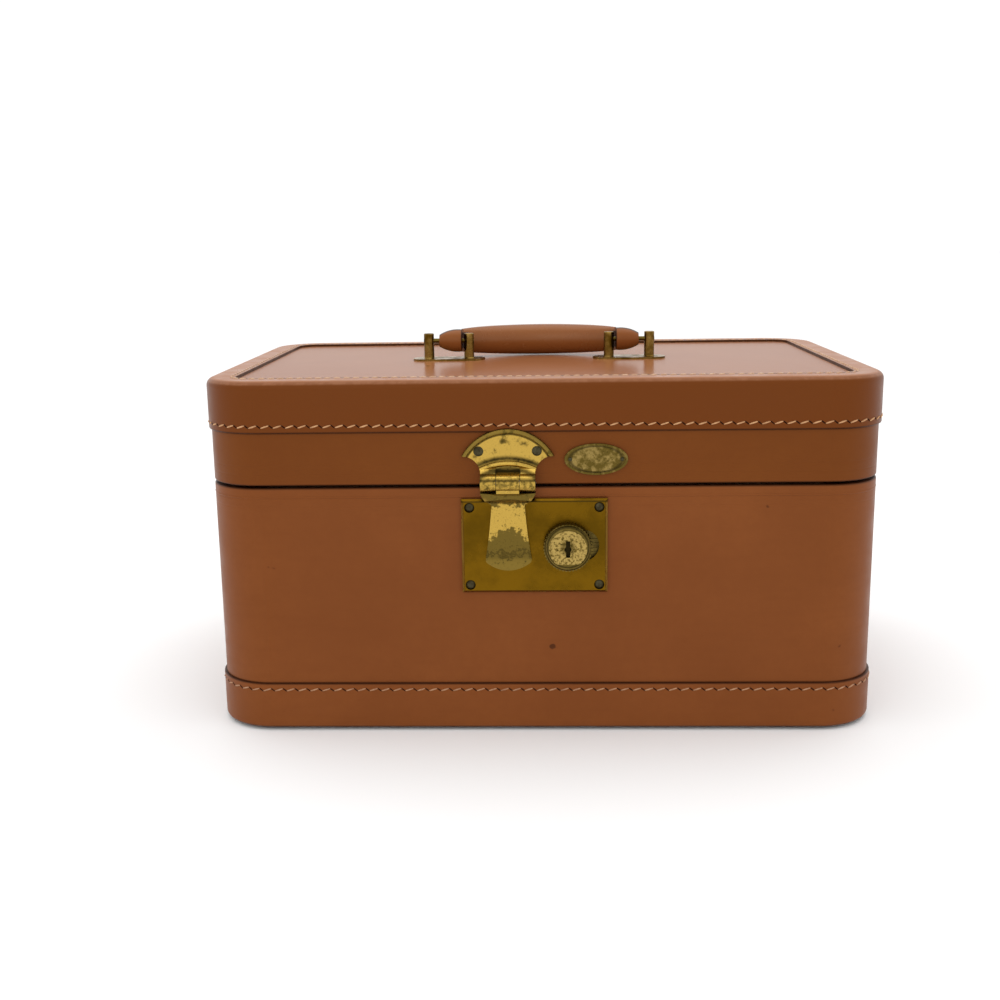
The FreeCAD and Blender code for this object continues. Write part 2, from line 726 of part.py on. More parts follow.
def stay_fastener(point, side, wall_face, seat_depth):
    """Headed pin with a shoulder, from its seat in the wall to past the bar."""
    bar_outer = point.x - side * (STAY_WALL_GAP - STAY_SIDE_PLAY)
    bar_inner = point.x - side * (STAY_WALL_GAP + STAY_BAR + STAY_SIDE_PLAY)

    def along(x):
        return Vector(x, point.y, point.z)

    shank = rod(STAY_PIN_RADIUS, along(wall_face + side * seat_depth), along(bar_inner))
    shoulder = rod(STAY_SHOULDER_RADIUS, along(wall_face), along(bar_outer))
    head = rod(STAY_HEAD_RADIUS, along(bar_inner), along(bar_inner - side * STAY_HEAD))
    return fuse_all([shank, shoulder, head])


def stay_lid_pin(side):
    wall = side * (CASE_WIDTH / 2 - lid_inside_inset)
    return stay_fastener(stay_points(side)[0], side, wall, LID_LINING + RIVET_DEPTH)


def stay_stud(side):
    wall = side * (CASE_WIDTH / 2 - inside_inset)
    return stay_fastener(stay_points(side)[1], side, wall, LINER + RIVET_DEPTH)


# Lock on the front of the base

def lock_plate():
    """Pan with bevelled edges, a throat for the staple and a slot for the knob's shank."""
    width, height = LOCK_PLATE_WIDTH, LOCK_PLATE_HEIGHT
    slab = front_box(LOCK_PLATE_X, lock_plate_z, width, height, 0, LOCK_PLATE_PROUD)
    rim = [edge for edge in slab.Edges if abs(edge.BoundBox.YMax - front_face + LOCK_PLATE_PROUD) < NEAR]
    slab = slab.makeChamfer(LOCK_PLATE_BEVEL, rim)
    wall = 2 * (LOCK_PLATE_SHEET + LOCK_PLATE_BEVEL)
    cavity = front_box(LOCK_PLATE_X, lock_plate_z, width - wall, height - wall, 0, lock_cavity)
    throat_low = staple_z - STAPLE_HEIGHT / 2 - STAPLE_PLAY
    throat_high = lock_plate_z + height / 2 + OVERRUN
    past = LOCK_PLATE_PROUD + OVERRUN
    throat = front_box(HASP_X, (throat_low + throat_high) / 2, staple_width + 2 * STAPLE_PLAY,
                       throat_high - throat_low, -OVERRUN, past)
    shank = KNOB_SHANK_RADIUS + KNOB_PLAY
    slot_ends = (knob_x - KNOB_LOCK_TRAVEL, knob_x + KNOB_DRAW_TRAVEL)
    slot = [front_rod(shank, x, knob_z, 0, past) for x in slot_ends]
    slot.append(front_box(sum(slot_ends) / 2, knob_z, slot_ends[1] - slot_ends[0], 2 * shank, 0, past))
    holes = [front_rod(RIVET_HEAD_RADIUS + FIT, x, z, 0, past) for x, z in lock_rivet_places()]
    return slab.cut([cavity, throat] + slot + holes)


def lock_back_plate():
    """Steel back of the lock, with ribs across it that show through the end of the knob's slot."""
    right = LOCK_PLATE_X + LOCK_PLATE_WIDTH / 2 - LOCK_PLATE_SHEET - LOCK_PLATE_BEVEL - LOCK_BACK_MARGIN
    x = right - LOCK_BACK_WIDTH / 2
    pieces = [front_box(x, knob_z, LOCK_BACK_WIDTH, LOCK_BACK_HEIGHT, 0, LOCK_BACK_SHEET)]
    for count in range(LOCK_RIB_COUNT):
        z = knob_z + (count - (LOCK_RIB_COUNT - 1) / 2) * LOCK_RIB_PITCH
        pieces.append(front_box(x, z, LOCK_BACK_WIDTH, LOCK_RIB, 0, LOCK_BACK_SHEET + LOCK_RIB_RISE))
    return fuse_all(pieces)


def lock_plate_rivets():
    """Sunk rivets that pass the pan and go into the wall."""
    rivets = []
    for x, z in lock_rivet_places():
        seat = LOCK_PLATE_PROUD - LOCK_RIVET_SINK - RIVET_HEAD_HEIGHT
        collar = front_rod(RIVET_HEAD_RADIUS, x, z, 0, seat)
        head = dome(front_point(x, seat, z), Vector(0, -1, 0), RIVET_HEAD_RADIUS, RIVET_HEAD_HEIGHT)
        shank = front_rod(RIVET_SHANK_RADIUS, x, z, -RIVET_DEPTH, 0)
        rivets.append(fuse_all([collar, head, shank]))
    return rivets


def knob_levels():
    foot = LOCK_PLATE_PROUD + KNOB_PLAY
    return foot, foot + KNOB_RIM_FOOT, foot + KNOB_RIM_HEIGHT, foot + KNOB_HEIGHT


def plug_outline(clearance):
    """Disc of the key plug with a flat across its lower side."""
    radius = PLUG_RADIUS + clearance
    drop = PLUG_FLAT_DROP + clearance
    half = math.sqrt(radius * radius - drop * drop)
    left = front_point(knob_x - half, 0, knob_z - drop)
    right = front_point(knob_x + half, 0, knob_z - drop)
    return [arc(left, front_point(knob_x, 0, knob_z + radius), right), line(right, left)]


def lock_knob():
    """Turned cap with a knurled rim, a shank through the plate and a seat for the plug."""
    foot, rim_low, rim_high, face = knob_levels()
    inner = lock_cavity - BOLT_PLAY
    cap = front_revolve([(0, inner), (KNOB_SHANK_RADIUS, inner), (KNOB_SHANK_RADIUS, foot),
                         (KNOB_FOOT_RADIUS, foot), (KNOB_RADIUS, rim_low), (KNOB_RADIUS, rim_high),
                         (KNOB_COLLAR_RADIUS, rim_high), (KNOB_COLLAR_RADIUS, face - KNOB_COLLAR_DROP),
                         (KNOB_FACE_RADIUS, face), (0, face)], knob_x, knob_z)
    grooves = []
    for count in range(KNURL_COUNT):
        turn = 2 * math.pi * count / KNURL_COUNT
        x, z = knob_x + KNOB_RADIUS * math.cos(turn), knob_z + KNOB_RADIUS * math.sin(turn)
        grooves.append(front_rod(KNURL_GROOVE_RADIUS, x, z, foot, face))
    seat = front_slab(plug_outline(FIT), face - PLUG_DEPTH, face + OVERRUN)
    return cap.cut(grooves + [seat])


def lock_plug():
    face = knob_levels()[3]
    plug = front_slab(plug_outline(0), face - PLUG_DEPTH, face + PLUG_PROUD)
    top = face + PLUG_PROUD
    bottom = top - KEYHOLE_DEPTH
    slit = front_box(knob_x, knob_z, KEYHOLE_WIDTH, KEYHOLE_HEIGHT, bottom, top + OVERRUN)
    eye = front_rod(KEYHOLE_EYE_RADIUS, knob_x, knob_z, bottom, top + OVERRUN)
    return plug.cut([slit, eye])


def lock_bolt():
    """Flat bolt on the knob's shank; its nose waits beside the staple's hook."""
    top = lock_cavity - BOLT_PLAY
    nose = staple_right + BOLT_NOSE_GAP
    tail = knob_x + BOLT_TAIL
    return front_box((nose + tail) / 2, knob_z, tail - nose, BOLT_HEIGHT, top - BOLT, top)


# Hasp hinge plate on the lid

def fan_arc_radius():
    rise = fan_top_z - fan_tip_z
    return (FAN_HALF_WIDTH ** 2 + rise ** 2) / (2 * rise)


def fan_outline(grow):
    """Fan: a round top between two tips, and hollow sides down to the waist."""
    tips = [front_point(HASP_X + side * (FAN_HALF_WIDTH + grow), 0, fan_tip_z) for side in (-1, 1)]
    waist = [front_point(HASP_X + side * (FAN_WAIST_HALF + grow), 0, fan_waist_z) for side in (-1, 1)]
    edges = [arc(tips[0], front_point(HASP_X, 0, fan_top_z + grow), tips[1]), line(waist[0], waist[1])]
    for side, tip, foot in zip((-1, 1), tips, waist):
        middle = midpoint(tip, foot)
        across = (foot - tip).normalize()
        inward = Vector(across.z * side, 0, -across.x * side)
        edges.append(arc(tip, middle + inward * FAN_SIDE_SAG, foot))
    return edges


def fan_bead(centre_z, radius, bead):
    """Round bead on the fan along a circle, trimmed to the fan's outline."""
    ring = Part.makeTorus(radius - bead, bead, front_point(HASP_X, FAN_SHEET, centre_z), Vector(0, 1, 0))
    return front_slab(fan_outline(0), 0, FAN_SHEET + bead).common(ring)


def hasp_axis_rod(radius, start, end):
    ends = [front_point(x, hasp_pin_out, hasp_pin_z) for x in (start, end)]
    return rod(radius, *ends)


def knuckle(start, end):
    return hasp_axis_rod(KNUCKLE_RADIUS, start, end)


def knuckle_web(start, end):
    """Sheet that runs from the plate over to the top of a knuckle."""
    top = fan_waist_z + WEB_RISE
    points = [front_point(start, 0, top), front_point(start, FAN_SHEET, top),
              front_point(start, hasp_pin_out, hasp_pin_z + KNUCKLE_RADIUS),
              front_point(start, hasp_pin_out, hasp_pin_z), front_point(start, KNUCKLE_STANDOFF, hasp_pin_z),
              front_point(start, 0, fan_waist_z)]
    return polygon(points).extrude(Vector(end - start, 0, 0))


def hasp_plate():
    outer, inner = KNUCKLE_WIDTH / 2, KNUCKLE_MIDDLE / 2 + KNUCKLE_GAP
    pieces = [front_slab(fan_outline(0), 0, FAN_SHEET)]
    radius = fan_arc_radius()
    pieces.append(fan_bead(fan_top_z - radius, radius, FAN_RIM_BEAD))
    pieces.append(fan_bead(fan_rib_top_z - FAN_RIB_RADIUS, FAN_RIB_RADIUS, FAN_RIB_BEAD))
    tab_low = hasp_pin_z + FAN_TAB_RISE
    tab_middle, tab_height = (tab_low + fan_waist_z) / 2, fan_waist_z - tab_low
    pieces.append(front_box(HASP_X, tab_middle, 2 * inner, tab_height, 0, FAN_TAB))
    for start, end in ((HASP_X - outer, HASP_X - inner), (HASP_X + inner, HASP_X + outer)):
        pieces.append(knuckle(start, end))
        pieces.append(knuckle_web(start, end))
    plate = fuse_all(pieces)
    bore = hasp_axis_rod(HASP_PIN_RADIUS + FIT, HASP_X - KNUCKLE_WIDTH, HASP_X + KNUCKLE_WIDTH)
    holes = [front_rod(RIVET_SHANK_RADIUS + FIT, x, z, 0, OVERRUN) for x, z in fan_rivet_places()]
    return plate.cut([bore] + holes)


def fan_rivets():
    return [rivet(front_point(x, FAN_SHEET, z), Vector(0, -1, 0), RIVET_HEAD_RADIUS, RIVET_DEPTH + FAN_SHEET)
            for x, z in fan_rivet_places()]


def hasp_pin():
    ends = [front_point(HASP_X + side * KNUCKLE_WIDTH / 2, hasp_pin_out, hasp_pin_z) for side in (-1, 1)]
    domes = [dome(end, Vector(side, 0, 0), HASP_PIN_RADIUS, HASP_PIN_DOME)
             for side, end in zip((-1, 1), ends)]
    return fuse_all([rod(HASP_PIN_RADIUS, *ends)] + domes)


# Hasp

def hasp_head():
    """Cupped head: the front, side and plan outlines cut one another."""
    bowl = Vector(HASP_HEAD_HALF - HASP_NECK_HALF, 0, -HASP_HEAD_HEIGHT) * HASP_BOWL_SHARE
    edges = [line(front_point(HASP_X - HASP_HEAD_HALF, 0, hasp_head_top),
                  front_point(HASP_X + HASP_HEAD_HALF, 0, hasp_head_top)),
             line(front_point(HASP_X - HASP_NECK_HALF, 0, hasp_head_bottom),
                  front_point(HASP_X + HASP_NECK_HALF, 0, hasp_head_bottom))]
    for side in (-1, 1):
        shoulder = front_point(HASP_X + side * HASP_HEAD_HALF, 0, hasp_head_top)
        neck = front_point(HASP_X + side * HASP_NECK_HALF, 0, hasp_head_bottom)
        bulge = midpoint(shoulder, neck) + Vector(side * bowl.x, 0, bowl.z)
        edges.append(arc(shoulder, bulge, neck))
    front = front_slab(edges, 0, HASP_HEAD_PROUD)

    left = HASP_X - HASP_HEAD_HALF
    sides = [front_point(left, KNUCKLE_STANDOFF + HASP_SHEET, hasp_head_top),
             front_point(left, hasp_back, hasp_head_top - HASP_SHEET),
             front_point(left, hasp_back, hasp_head_bottom),
             front_point(left, hasp_front, hasp_head_bottom)]
    brow = front_point(left, hasp_pin_out + HASP_HEAD_CORNER, hasp_head_top)
    bulged = [line(a, b) for a, b in zip(sides, sides[1:])]
    low_z = hasp_head_bottom + HASP_HEAD_HEIGHT * HASP_CROWN_LOW_SHARE
    high_z = hasp_head_bottom + HASP_HEAD_HEIGHT * HASP_CROWN_HIGH_SHARE
    crown = Part.BezierCurve()
    crown.setPoles([sides[-1], front_point(left, hasp_front, low_z),
                    front_point(left, HASP_HEAD_PROUD + HASP_HEAD_CORNER, high_z), brow])
    bulged += [crown.toShape(), line(brow, sides[0])]
    profile = Part.Face(Part.Wire(bulged)).extrude(Vector(2 * HASP_HEAD_HALF, 0, 0))

    right = HASP_X + HASP_HEAD_HALF
    edge = [front_point(x, HASP_HEAD_SIDE_PROUD, hasp_head_bottom) for x in (left, right)]
    back = [front_point(x, 0, hasp_head_bottom) for x in (left, right)]
    swell = arc(edge[0], front_point(HASP_X, HASP_HEAD_PROUD, hasp_head_bottom), edge[1])
    walls = [line(edge[1], back[1]), line(back[1], back[0]), line(back[0], edge[0])]
    plan = Part.Face(Part.Wire([swell] + walls))
    return front.common(profile).common(plan.extrude(Vector(0, 0, HASP_HEAD_HEIGHT)))


def hasp_tongue():
    """Waisted leaf below the head, with a round foot that curls outwards."""
    tip_z = hasp_bottom_z + HASP_TIP_RISE
    tips = [front_point(HASP_X + side * HASP_TIP_HALF, 0, tip_z) for side in (-1, 1)]
    neck = [front_point(HASP_X + side * HASP_NECK_HALF, 0, hasp_head_bottom) for side in (-1, 1)]
    edges = [line(neck[0], neck[1]), arc(tips[0], front_point(HASP_X, 0, hasp_bottom_z), tips[1])]
    for side, tip, top in zip((-1, 1), tips, neck):
        edges.append(arc(top, midpoint(tip, top) - Vector(side * HASP_FLARE_SAG, 0, 0), tip))
    front = front_slab(edges, 0, hasp_front + HASP_CURL)
    corners = [edge for edge in front.Edges if abs(edge.BoundBox.ZMin - tip_z) < NEAR
               and abs(edge.BoundBox.ZMax - tip_z) < NEAR]
    front = front.makeFillet(HASP_TIP_ROUND, corners)

    left = HASP_X - HASP_TIP_HALF
    curl_z = hasp_bottom_z + HASP_CURL_HEIGHT
    sheet = []
    for out in (hasp_back, hasp_front):
        top = front_point(left, out, hasp_head_bottom)
        start = front_point(left, out, curl_z)
        end = front_point(left, out + HASP_CURL, hasp_bottom_z)
        middle = midpoint(start, end) + Vector(0, HASP_CURL * HASP_CURL_SHARE, 0)
        sheet.append((line(top, start), arc(start, middle, end), top, end))
    (run_a, curl_a, top_a, end_a), (run_b, curl_b, top_b, end_b) = sheet
    wire = Part.Wire([run_a, curl_a, line(end_a, end_b), curl_b, run_b, line(top_b, top_a)])
    return front.common(Part.Face(wire).extrude(Vector(2 * HASP_TIP_HALF, 0, 0)))


def hasp():
    half = KNUCKLE_MIDDLE / 2
    barrel = knuckle(HASP_X - half, HASP_X + half)
    link_low = hasp_head_top - HASP_SHEET
    link = box_between(front_point(HASP_X - half, hasp_pin_out + HASP_HEAD_CORNER, link_low),
                       front_point(HASP_X + half, hasp_back, hasp_pin_z))
    bore = hasp_axis_rod(HASP_PIN_RADIUS + HASP_PIN_PLAY, HASP_X - KNUCKLE_WIDTH, HASP_X + KNUCKLE_WIDTH)
    return fuse_all([barrel, link, hasp_head(), hasp_tongue()]).cut(bore)


def hasp_staple():
    """Hooked lug on the back of the tongue."""
    neck = front_box(staple_left + STAPLE_NECK / 2, staple_z, STAPLE_NECK, STAPLE_HEIGHT,
                     STAPLE_WALL_GAP, hasp_back)
    hook = front_box(HASP_X, staple_z, staple_width, STAPLE_HEIGHT,
                     STAPLE_WALL_GAP, STAPLE_WALL_GAP + STAPLE_HOOK_THICKNESS)
    return fuse_all([neck, hook])


# Badge

def oval(width, height, low, high):
    curve = Part.Ellipse(Vector(0, 0, 0), width / 2, height / 2).toShape()
    face = Part.Face(Part.Wire(curve))
    face.rotate(Vector(0, 0, 0), Vector(1, 0, 0), 90)
    face.translate(front_point(BADGE_X, low, badge_z))
    return face.extrude(Vector(0, low - high, 0))


def oval_badge():
    """Bare oval plate with a raised rim."""
    plate = oval(badge_width, badge_height, 0, BADGE_SHEET)
    top = BADGE_SHEET + BADGE_RIM_RISE
    rim = oval(badge_width, badge_height, BADGE_SHEET, top)
    rim = rim.cut(oval(badge_width - 2 * BADGE_RIM_WIDTH, badge_height - 2 * BADGE_RIM_WIDTH,
                       BADGE_SHEET, top))
    holes = [front_rod(BADGE_PIN_RADIUS + FIT, x, z, 0, OVERRUN) for x, z in badge_pin_places()]
    return plate.fuse(rim).removeSplitter().cut(holes)


def badge_pins():
    top = BADGE_SHEET + BADGE_PIN_RISE
    return [front_rod(BADGE_PIN_RADIUS, x, z, -RIVET_DEPTH, top) for x, z in badge_pin_places()]


# Handle mounts

def handle_mount(side):
    """Long plate with round ends, drilled for the two posts."""
    plate = rounded_block(MOUNT_LENGTH, MOUNT_WIDTH, MOUNT_WIDTH * MOUNT_END_SHARE,
                          top_panel_level, top_panel_level + MOUNT_SHEET)
    plate.translate(Vector(HANDLE_X + side * MOUNT_CENTRE_X, HANDLE_Y, 0))
    up = Vector(0, 0, OVERRUN)
    return plate.cut([rod(POST_SHANK_RADIUS + FIT, place, place + up) for place in post_places(side)])


def handle_posts(side):
    """Two turned posts with a foot, a round top and a cross hole for the rod."""
    posts = []
    for place in post_places(side):
        foot = place + Vector(0, 0, MOUNT_SHEET)
        post = rod(POST_RADIUS, foot, foot + Vector(0, 0, POST_HEIGHT))
        post = round_level(post, POST_TOP_ROUND, foot.z + POST_HEIGHT)
        collar = Part.makeCone(POST_FOOT_RADIUS, POST_RADIUS, POST_FOOT, foot)
        shank = rod(POST_SHANK_RADIUS, Vector(place.x, place.y, lid_ceiling), foot)
        hole = rod(ROD_RADIUS + FIT, Vector(place.x - POST_SPACING / 2, HANDLE_Y, pivot_z),
                   Vector(place.x + POST_SPACING / 2, HANDLE_Y, pivot_z))
        posts.append(fuse_all([post, collar, shank]).cut(hole))
    return posts


def handle_rod(side):
    half = POST_SPACING / 2 + POST_RADIUS
    return rod(ROD_RADIUS, handle_point(side * MOUNT_CENTRE_X - half, 0),
               handle_point(side * MOUNT_CENTRE_X + half, 0))


# Handle, drawn flat behind its pivot line and then let down until the grip nearly meets the lid

def handle_point(x, reach):
    return Vector(HANDLE_X + x, HANDLE_Y + reach, pivot_z)


def let_down(shape):
    shape.rotate(Vector(0, HANDLE_Y, pivot_z), Vector(1, 0, 0), -handle_drop)
    return shape


def grip_section(share):
    """Oval across the grip; share runs from -1 at the left end to 1 at the right."""
    turn = share * grip_half_turn
    swell = math.cos(share * math.pi / 2) ** GRIP_SWELL_POWER if abs(share) < 1 else 0
    high = GRIP_END_HIGH + (GRIP_MIDDLE_HIGH - GRIP_END_HIGH) * swell
    deep = GRIP_END_DEEP + (GRIP_MIDDLE_DEEP - GRIP_END_DEEP) * swell
    centre = handle_point(grip_bend * math.sin(turn), GRIP_REACH - grip_bend * (1 - math.cos(turn)))
    outward = Vector(math.sin(turn), math.cos(turn), 0)
    if high >= deep:
        curve = Part.Ellipse(centre + Vector(0, 0, high), centre + outward * deep, centre)
    else:
        curve = Part.Ellipse(centre + outward * deep, centre + Vector(0, 0, high), centre)
    return Part.Wire(curve.toShape())


def core_shape():
    """Steel band along the grip with a strap at each end that passes behind the inner post."""
    centre = handle_point(0, GRIP_REACH - grip_bend)
    low = centre - Vector(0, 0, CORE_WIDTH / 2)
    turn = math.degrees(grip_half_turn)
    band = Part.makeCylinder(grip_bend + CORE_THICKNESS / 2, CORE_WIDTH, low, Vector(0, 0, 1), 2 * turn)
    band = band.cut(Part.makeCylinder(grip_bend - CORE_THICKNESS / 2, CORE_WIDTH, low))
    band.rotate(centre, Vector(0, 0, 1), 90 - turn)
    pieces = [band]
    for side in SIDES.values():
        inner = handle_point(side * STRAP_INNER_X, STRAP_INNER_REACH)
        outer = handle_point(side * STRAP_OUTER_X, STRAP_OUTER_REACH)
        along = (outer - inner).normalize()
        across = Vector(-along.y, along.x, 0) * (CORE_THICKNESS / 2)
        down = Vector(0, 0, -STRAP_WIDTH / 2)
        corners = (inner + across, outer + across, outer - across, inner - across)
        face = polygon([corner + down for corner in corners])
        pieces.append(face.extrude(Vector(0, 0, STRAP_WIDTH)))
    bores = [rod(ROD_RADIUS + ROD_PLAY, handle_point(side * GRIP_END_X, 0),
                 handle_point(side * CASE_WIDTH / 2, 0)) for side in SIDES.values()]
    return fuse_all(pieces).cut(bores)


def handle_grip():
    last = GRIP_SECTIONS - 1
    sections = [grip_section(2 * count / last - 1) for count in range(GRIP_SECTIONS)]
    return let_down(Part.makeLoft(sections, True, False).cut(core_shape()))


def handle_nose(side):
    """Bullet-shaped leather end that turns on the rod."""
    inner = handle_point(side * NOSE_INNER_X, 0)
    top = inner + Vector(0, 0, NOSE_RADIUS)
    tip = handle_point(side * NOSE_OUTER_X, 0) + Vector(0, 0, NOSE_TIP_RADIUS)
    shoulder_x = NOSE_INNER_X + (NOSE_OUTER_X - NOSE_INNER_X) * NOSE_SHOULDER_SHARE
    shoulder = handle_point(side * shoulder_x, 0) + Vector(0, 0, NOSE_SHOULDER_RADIUS)
    end = handle_point(side * NOSE_OUTER_X, 0)
    outline = [line(inner, top), arc(top, shoulder, tip), line(tip, end), line(end, inner)]
    body = Part.Face(Part.Wire(outline)).revolve(inner, Vector(1, 0, 0), 360)
    bore = rod(ROD_RADIUS + ROD_PLAY, handle_point(0, 0), handle_point(side * CASE_WIDTH / 2, 0))
    return let_down(body.cut([bore, core_shape()]))


def all_parts():
    parts = {
        "base_shell": base_shell(), "base_cover": base_cover(), "base_binding": base_binding(),
        "bottom_panel": bottom_panel(), "base_lining": base_lining(),
        "lid_guide_strips": lid_guide_strips(),
        "lid_shell": lid_shell(), "lid_cover": lid_cover(), "lid_top_panel": lid_top_panel(),
        "lid_binding": lid_binding(), "lid_lining": lid_lining(),
        "lock_plate": lock_plate(), "lock_back_plate": lock_back_plate(),
        "lock_plate_rivets": lock_plate_rivets(),
        "lock_knob": lock_knob(), "lock_plug": lock_plug(), "lock_bolt": lock_bolt(),
        "hasp_plate": hasp_plate(), "hasp_plate_rivets": fan_rivets(), "hasp_pin": hasp_pin(),
        "hasp": hasp(), "hasp_staple": hasp_staple(),
        "oval_badge": oval_badge(), "badge_pins": badge_pins(),
        "handle_core": let_down(core_shape()), "handle_grip": handle_grip(),
        "hinge_base_rivets": hinge_rivets(-1), "hinge_lid_rivets": hinge_rivets(1),
    }
    parts.update(mirror_parts())
    for name, side in SIDES.items():
        hinge_x = side * hinge_spacing / 2
        parts["hinge_leaf_base_" + name] = hinge_leaf(hinge_x, -1)
        parts["hinge_leaf_lid_" + name] = hinge_leaf(hinge_x, 1)
        parts["hinge_pin_" + name] = hinge_pin(hinge_x)
        parts["stay_bar_" + name] = stay_bar(side)
        parts["stay_lid_pin_" + name] = stay_lid_pin(side)
        parts["stay_stud_" + name] = stay_stud(side)
        parts["handle_mount_" + name] = handle_mount(side)
        parts["handle_posts_" + name] = handle_posts(side)
        parts["handle_rod_" + name] = handle_rod(side)
        parts["handle_nose_" + name] = handle_nose(side)
    return parts


os.makedirs("parts", exist_ok=True)
for node, shape in all_parts().items():
    if isinstance(shape, list):
        shape = Part.makeCompound(shape)
    shape.exportStep("parts/" + node + ".step")
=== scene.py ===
import math
from collections import namedtuple
import bmesh
import bpy
from mathutils import Matrix, Vector


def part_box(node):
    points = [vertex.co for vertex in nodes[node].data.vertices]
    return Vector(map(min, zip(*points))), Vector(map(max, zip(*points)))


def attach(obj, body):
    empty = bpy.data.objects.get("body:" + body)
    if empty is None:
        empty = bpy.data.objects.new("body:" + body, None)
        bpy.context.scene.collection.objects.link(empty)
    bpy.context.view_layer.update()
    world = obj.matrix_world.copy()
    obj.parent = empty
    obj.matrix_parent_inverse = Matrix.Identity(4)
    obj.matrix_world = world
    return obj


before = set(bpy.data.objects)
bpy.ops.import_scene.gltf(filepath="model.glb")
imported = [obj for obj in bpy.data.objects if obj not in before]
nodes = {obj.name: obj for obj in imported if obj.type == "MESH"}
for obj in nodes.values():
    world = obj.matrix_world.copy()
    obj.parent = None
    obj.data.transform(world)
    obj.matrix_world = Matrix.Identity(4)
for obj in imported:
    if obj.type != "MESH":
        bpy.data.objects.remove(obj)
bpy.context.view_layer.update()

# Looks of the leather-covered train case, in metres and in the frame of the imported part.

# Stitching: rows of slanted thread with a dark awl slit between each two stitches, painted dark as the shade
# in the hole
SIDE_STITCH_PITCH = 0.0059
SIDE_STITCH_LENGTH = 0.0046
SIDE_STITCH_WIDTH = 0.00082
TOP_STITCH_PITCH = 0.0046
TOP_STITCH_LENGTH = 0.0034
TOP_STITCH_WIDTH = 0.0010
STITCH_SLANT = math.radians(17)
THREAD_RISE = 0.00042
AWL_SLANT = math.radians(-38)
AWL_SHIFT_SHARE = 0.5
AWL_LENGTH_SHARE = 0.64
AWL_WIDTH_SHARE = 0.85
AWL_RISE = 0.00006
BAND_STITCH_DROP = 0.0031
BINDING_STITCH_RISE = 0.0032
TOP_ROW_INSET = 0.01295
TOP_ROW_CORNER = 0.01205
CASE_CORNER = 0.029
THREAD_SIDES = 8
THREAD_RINGS = 6

# Turned hem of the base's leather, a low roll under the rim
HEM_DROP = 0.0046
HEM_WIDTH = 0.0010
HEM_RISE = 0.00013
HEM_SIDES = 10
HEM_CORNER_STEPS = 12
HEM_MERGE = 0.000005

# Levels on the case where the leather is dark: cut and turned edges, with painted shade in the seam and
# beside the edges
outer_low, outer_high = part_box("lid_binding")
band_low, band_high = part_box("base_binding")
base_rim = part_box("base_cover")[1].z
lid_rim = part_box("lid_cover")[0].z
half_width, half_depth = outer_high.x, outer_high.y
HEM_CREASES = (0.0052, 0.0095)
HEM_CREASE_REACH = 0.0006
EDGE_AND_SHADE_REACH = 0.0009
SEAM_EDGE_AND_SHADE_REACH = 0.0011
BAND_FOOT_SHADE_REACH = 0.0018
# Painted highlight: pale patches along the binding's rounded top edge, where the top light catches it
TOP_HIGHLIGHT_DROP = 0.0011
TOP_HIGHLIGHT_REACH = 0.0012
NOSE_SEAM = (-0.0020, 0.0008)
NOSE_CUT_REACH = 0.0006
SEAM_FADE = 0.0005
# Reach of the painted sheen on the binding's top face
TOP_FACE_REACH = 0.0009

# Opening of the lid's binding round the top panel, with a cut edge, painted step shadow, and a patchy dark
# stitch groove
OPENING_HALF_X = 0.150
OPENING_HALF_Y = 0.091
OPENING_CORNER = 0.010
INNER_EDGE_REACH = 0.0005
# Width of the painted shadow of the binding's step on the panel's border
PANEL_EDGE_SHADE_REACH = 0.0016
GROOVE_REACH = 0.0011
TOP_GROOVE_OUT = half_width - TOP_ROW_INSET - OPENING_HALF_X

# Fan plate. A stain has its line's place, its reach and its strength; a border has its two ends and the
# share at each.
fan_low, fan_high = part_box("hasp_plate")
fan_middle_x = (fan_low.x + fan_high.x) / 2
FAN_ARC_RADIUS = 0.025115
FAN_RIM_WIDTH = 0.0025
FAN_RIM_FADE = 0.0002
FAN_RIM_DULL = 0.75
FAN_RIB_RADIUS = 0.0314
FAN_RIB_CENTRE_Z = 0.1050
FAN_GROOVE = (-FAN_RIM_WIDTH - FAN_RIM_FADE, 0.0006, 0.85)
FAN_HOLLOW_OUT, FAN_HOLLOW_REACH = 0.0011, 0.0021
FAN_FOOT = (-0.0036, 0.0019, 0.8)
FAN_SMEAR = (-0.0056, 0.0018, 0.7)
FAN_RAGGED = (0.35, 0.60, 0.80, 1.0)
FAN_SMEAR_LIMITS = (0.46, 0.60)
# Painted shade in the fan plate's notch round the hasp's knuckle
NOTCH_SHADE = (0.1311, 0.0016, 1.0)
NOTCH_SHADE_HALF = 0.0060
NOTCH_FADE = 0.0004

# Knuckles and hasp
# Painted reflection: a dark line along the middle of the polished knuckles
KNUCKLE_DARK_REFLECTION = (0.1281, 0.0011, 0.8)
KNUCKLE_MIDDLE_Z = 0.1268
KNUCKLE_REACH = 0.0060
RAGGED_MIDDLE = 0.5
RAGGED_REACH = 0.022
RUBBED_LOW_Z = 0.1042
RUBBED_ARCH = 60.0
RUBBED_FADE = 0.0007
TONGUE_FOOT_Z = 0.0893
TONGUE_FOOT_FADE = 0.001
TONGUE_FOOT_DULL = 0.80
TONGUE_DULL = 0.92
TONGUE_BAND = (0.0915, 0.0024, 0.55)
HEAD_LOW_Z = 0.1158
HEAD_LOW_FADE = (-0.0012, 0.0008)
HEAD_HIGH_Z = 0.1217
HEAD_HIGH_FADE = 0.0002
HEAD_DULL = 0.8
HEAD_GRIME = 0.25
# Painted highlights: bright crescents at the sides of the cup
CUP_SIDE, CUP_SIDE_REACH = 0.0112, 0.0020
CUP_HIGHLIGHT = (0.1180, 0.0022, 0.9)

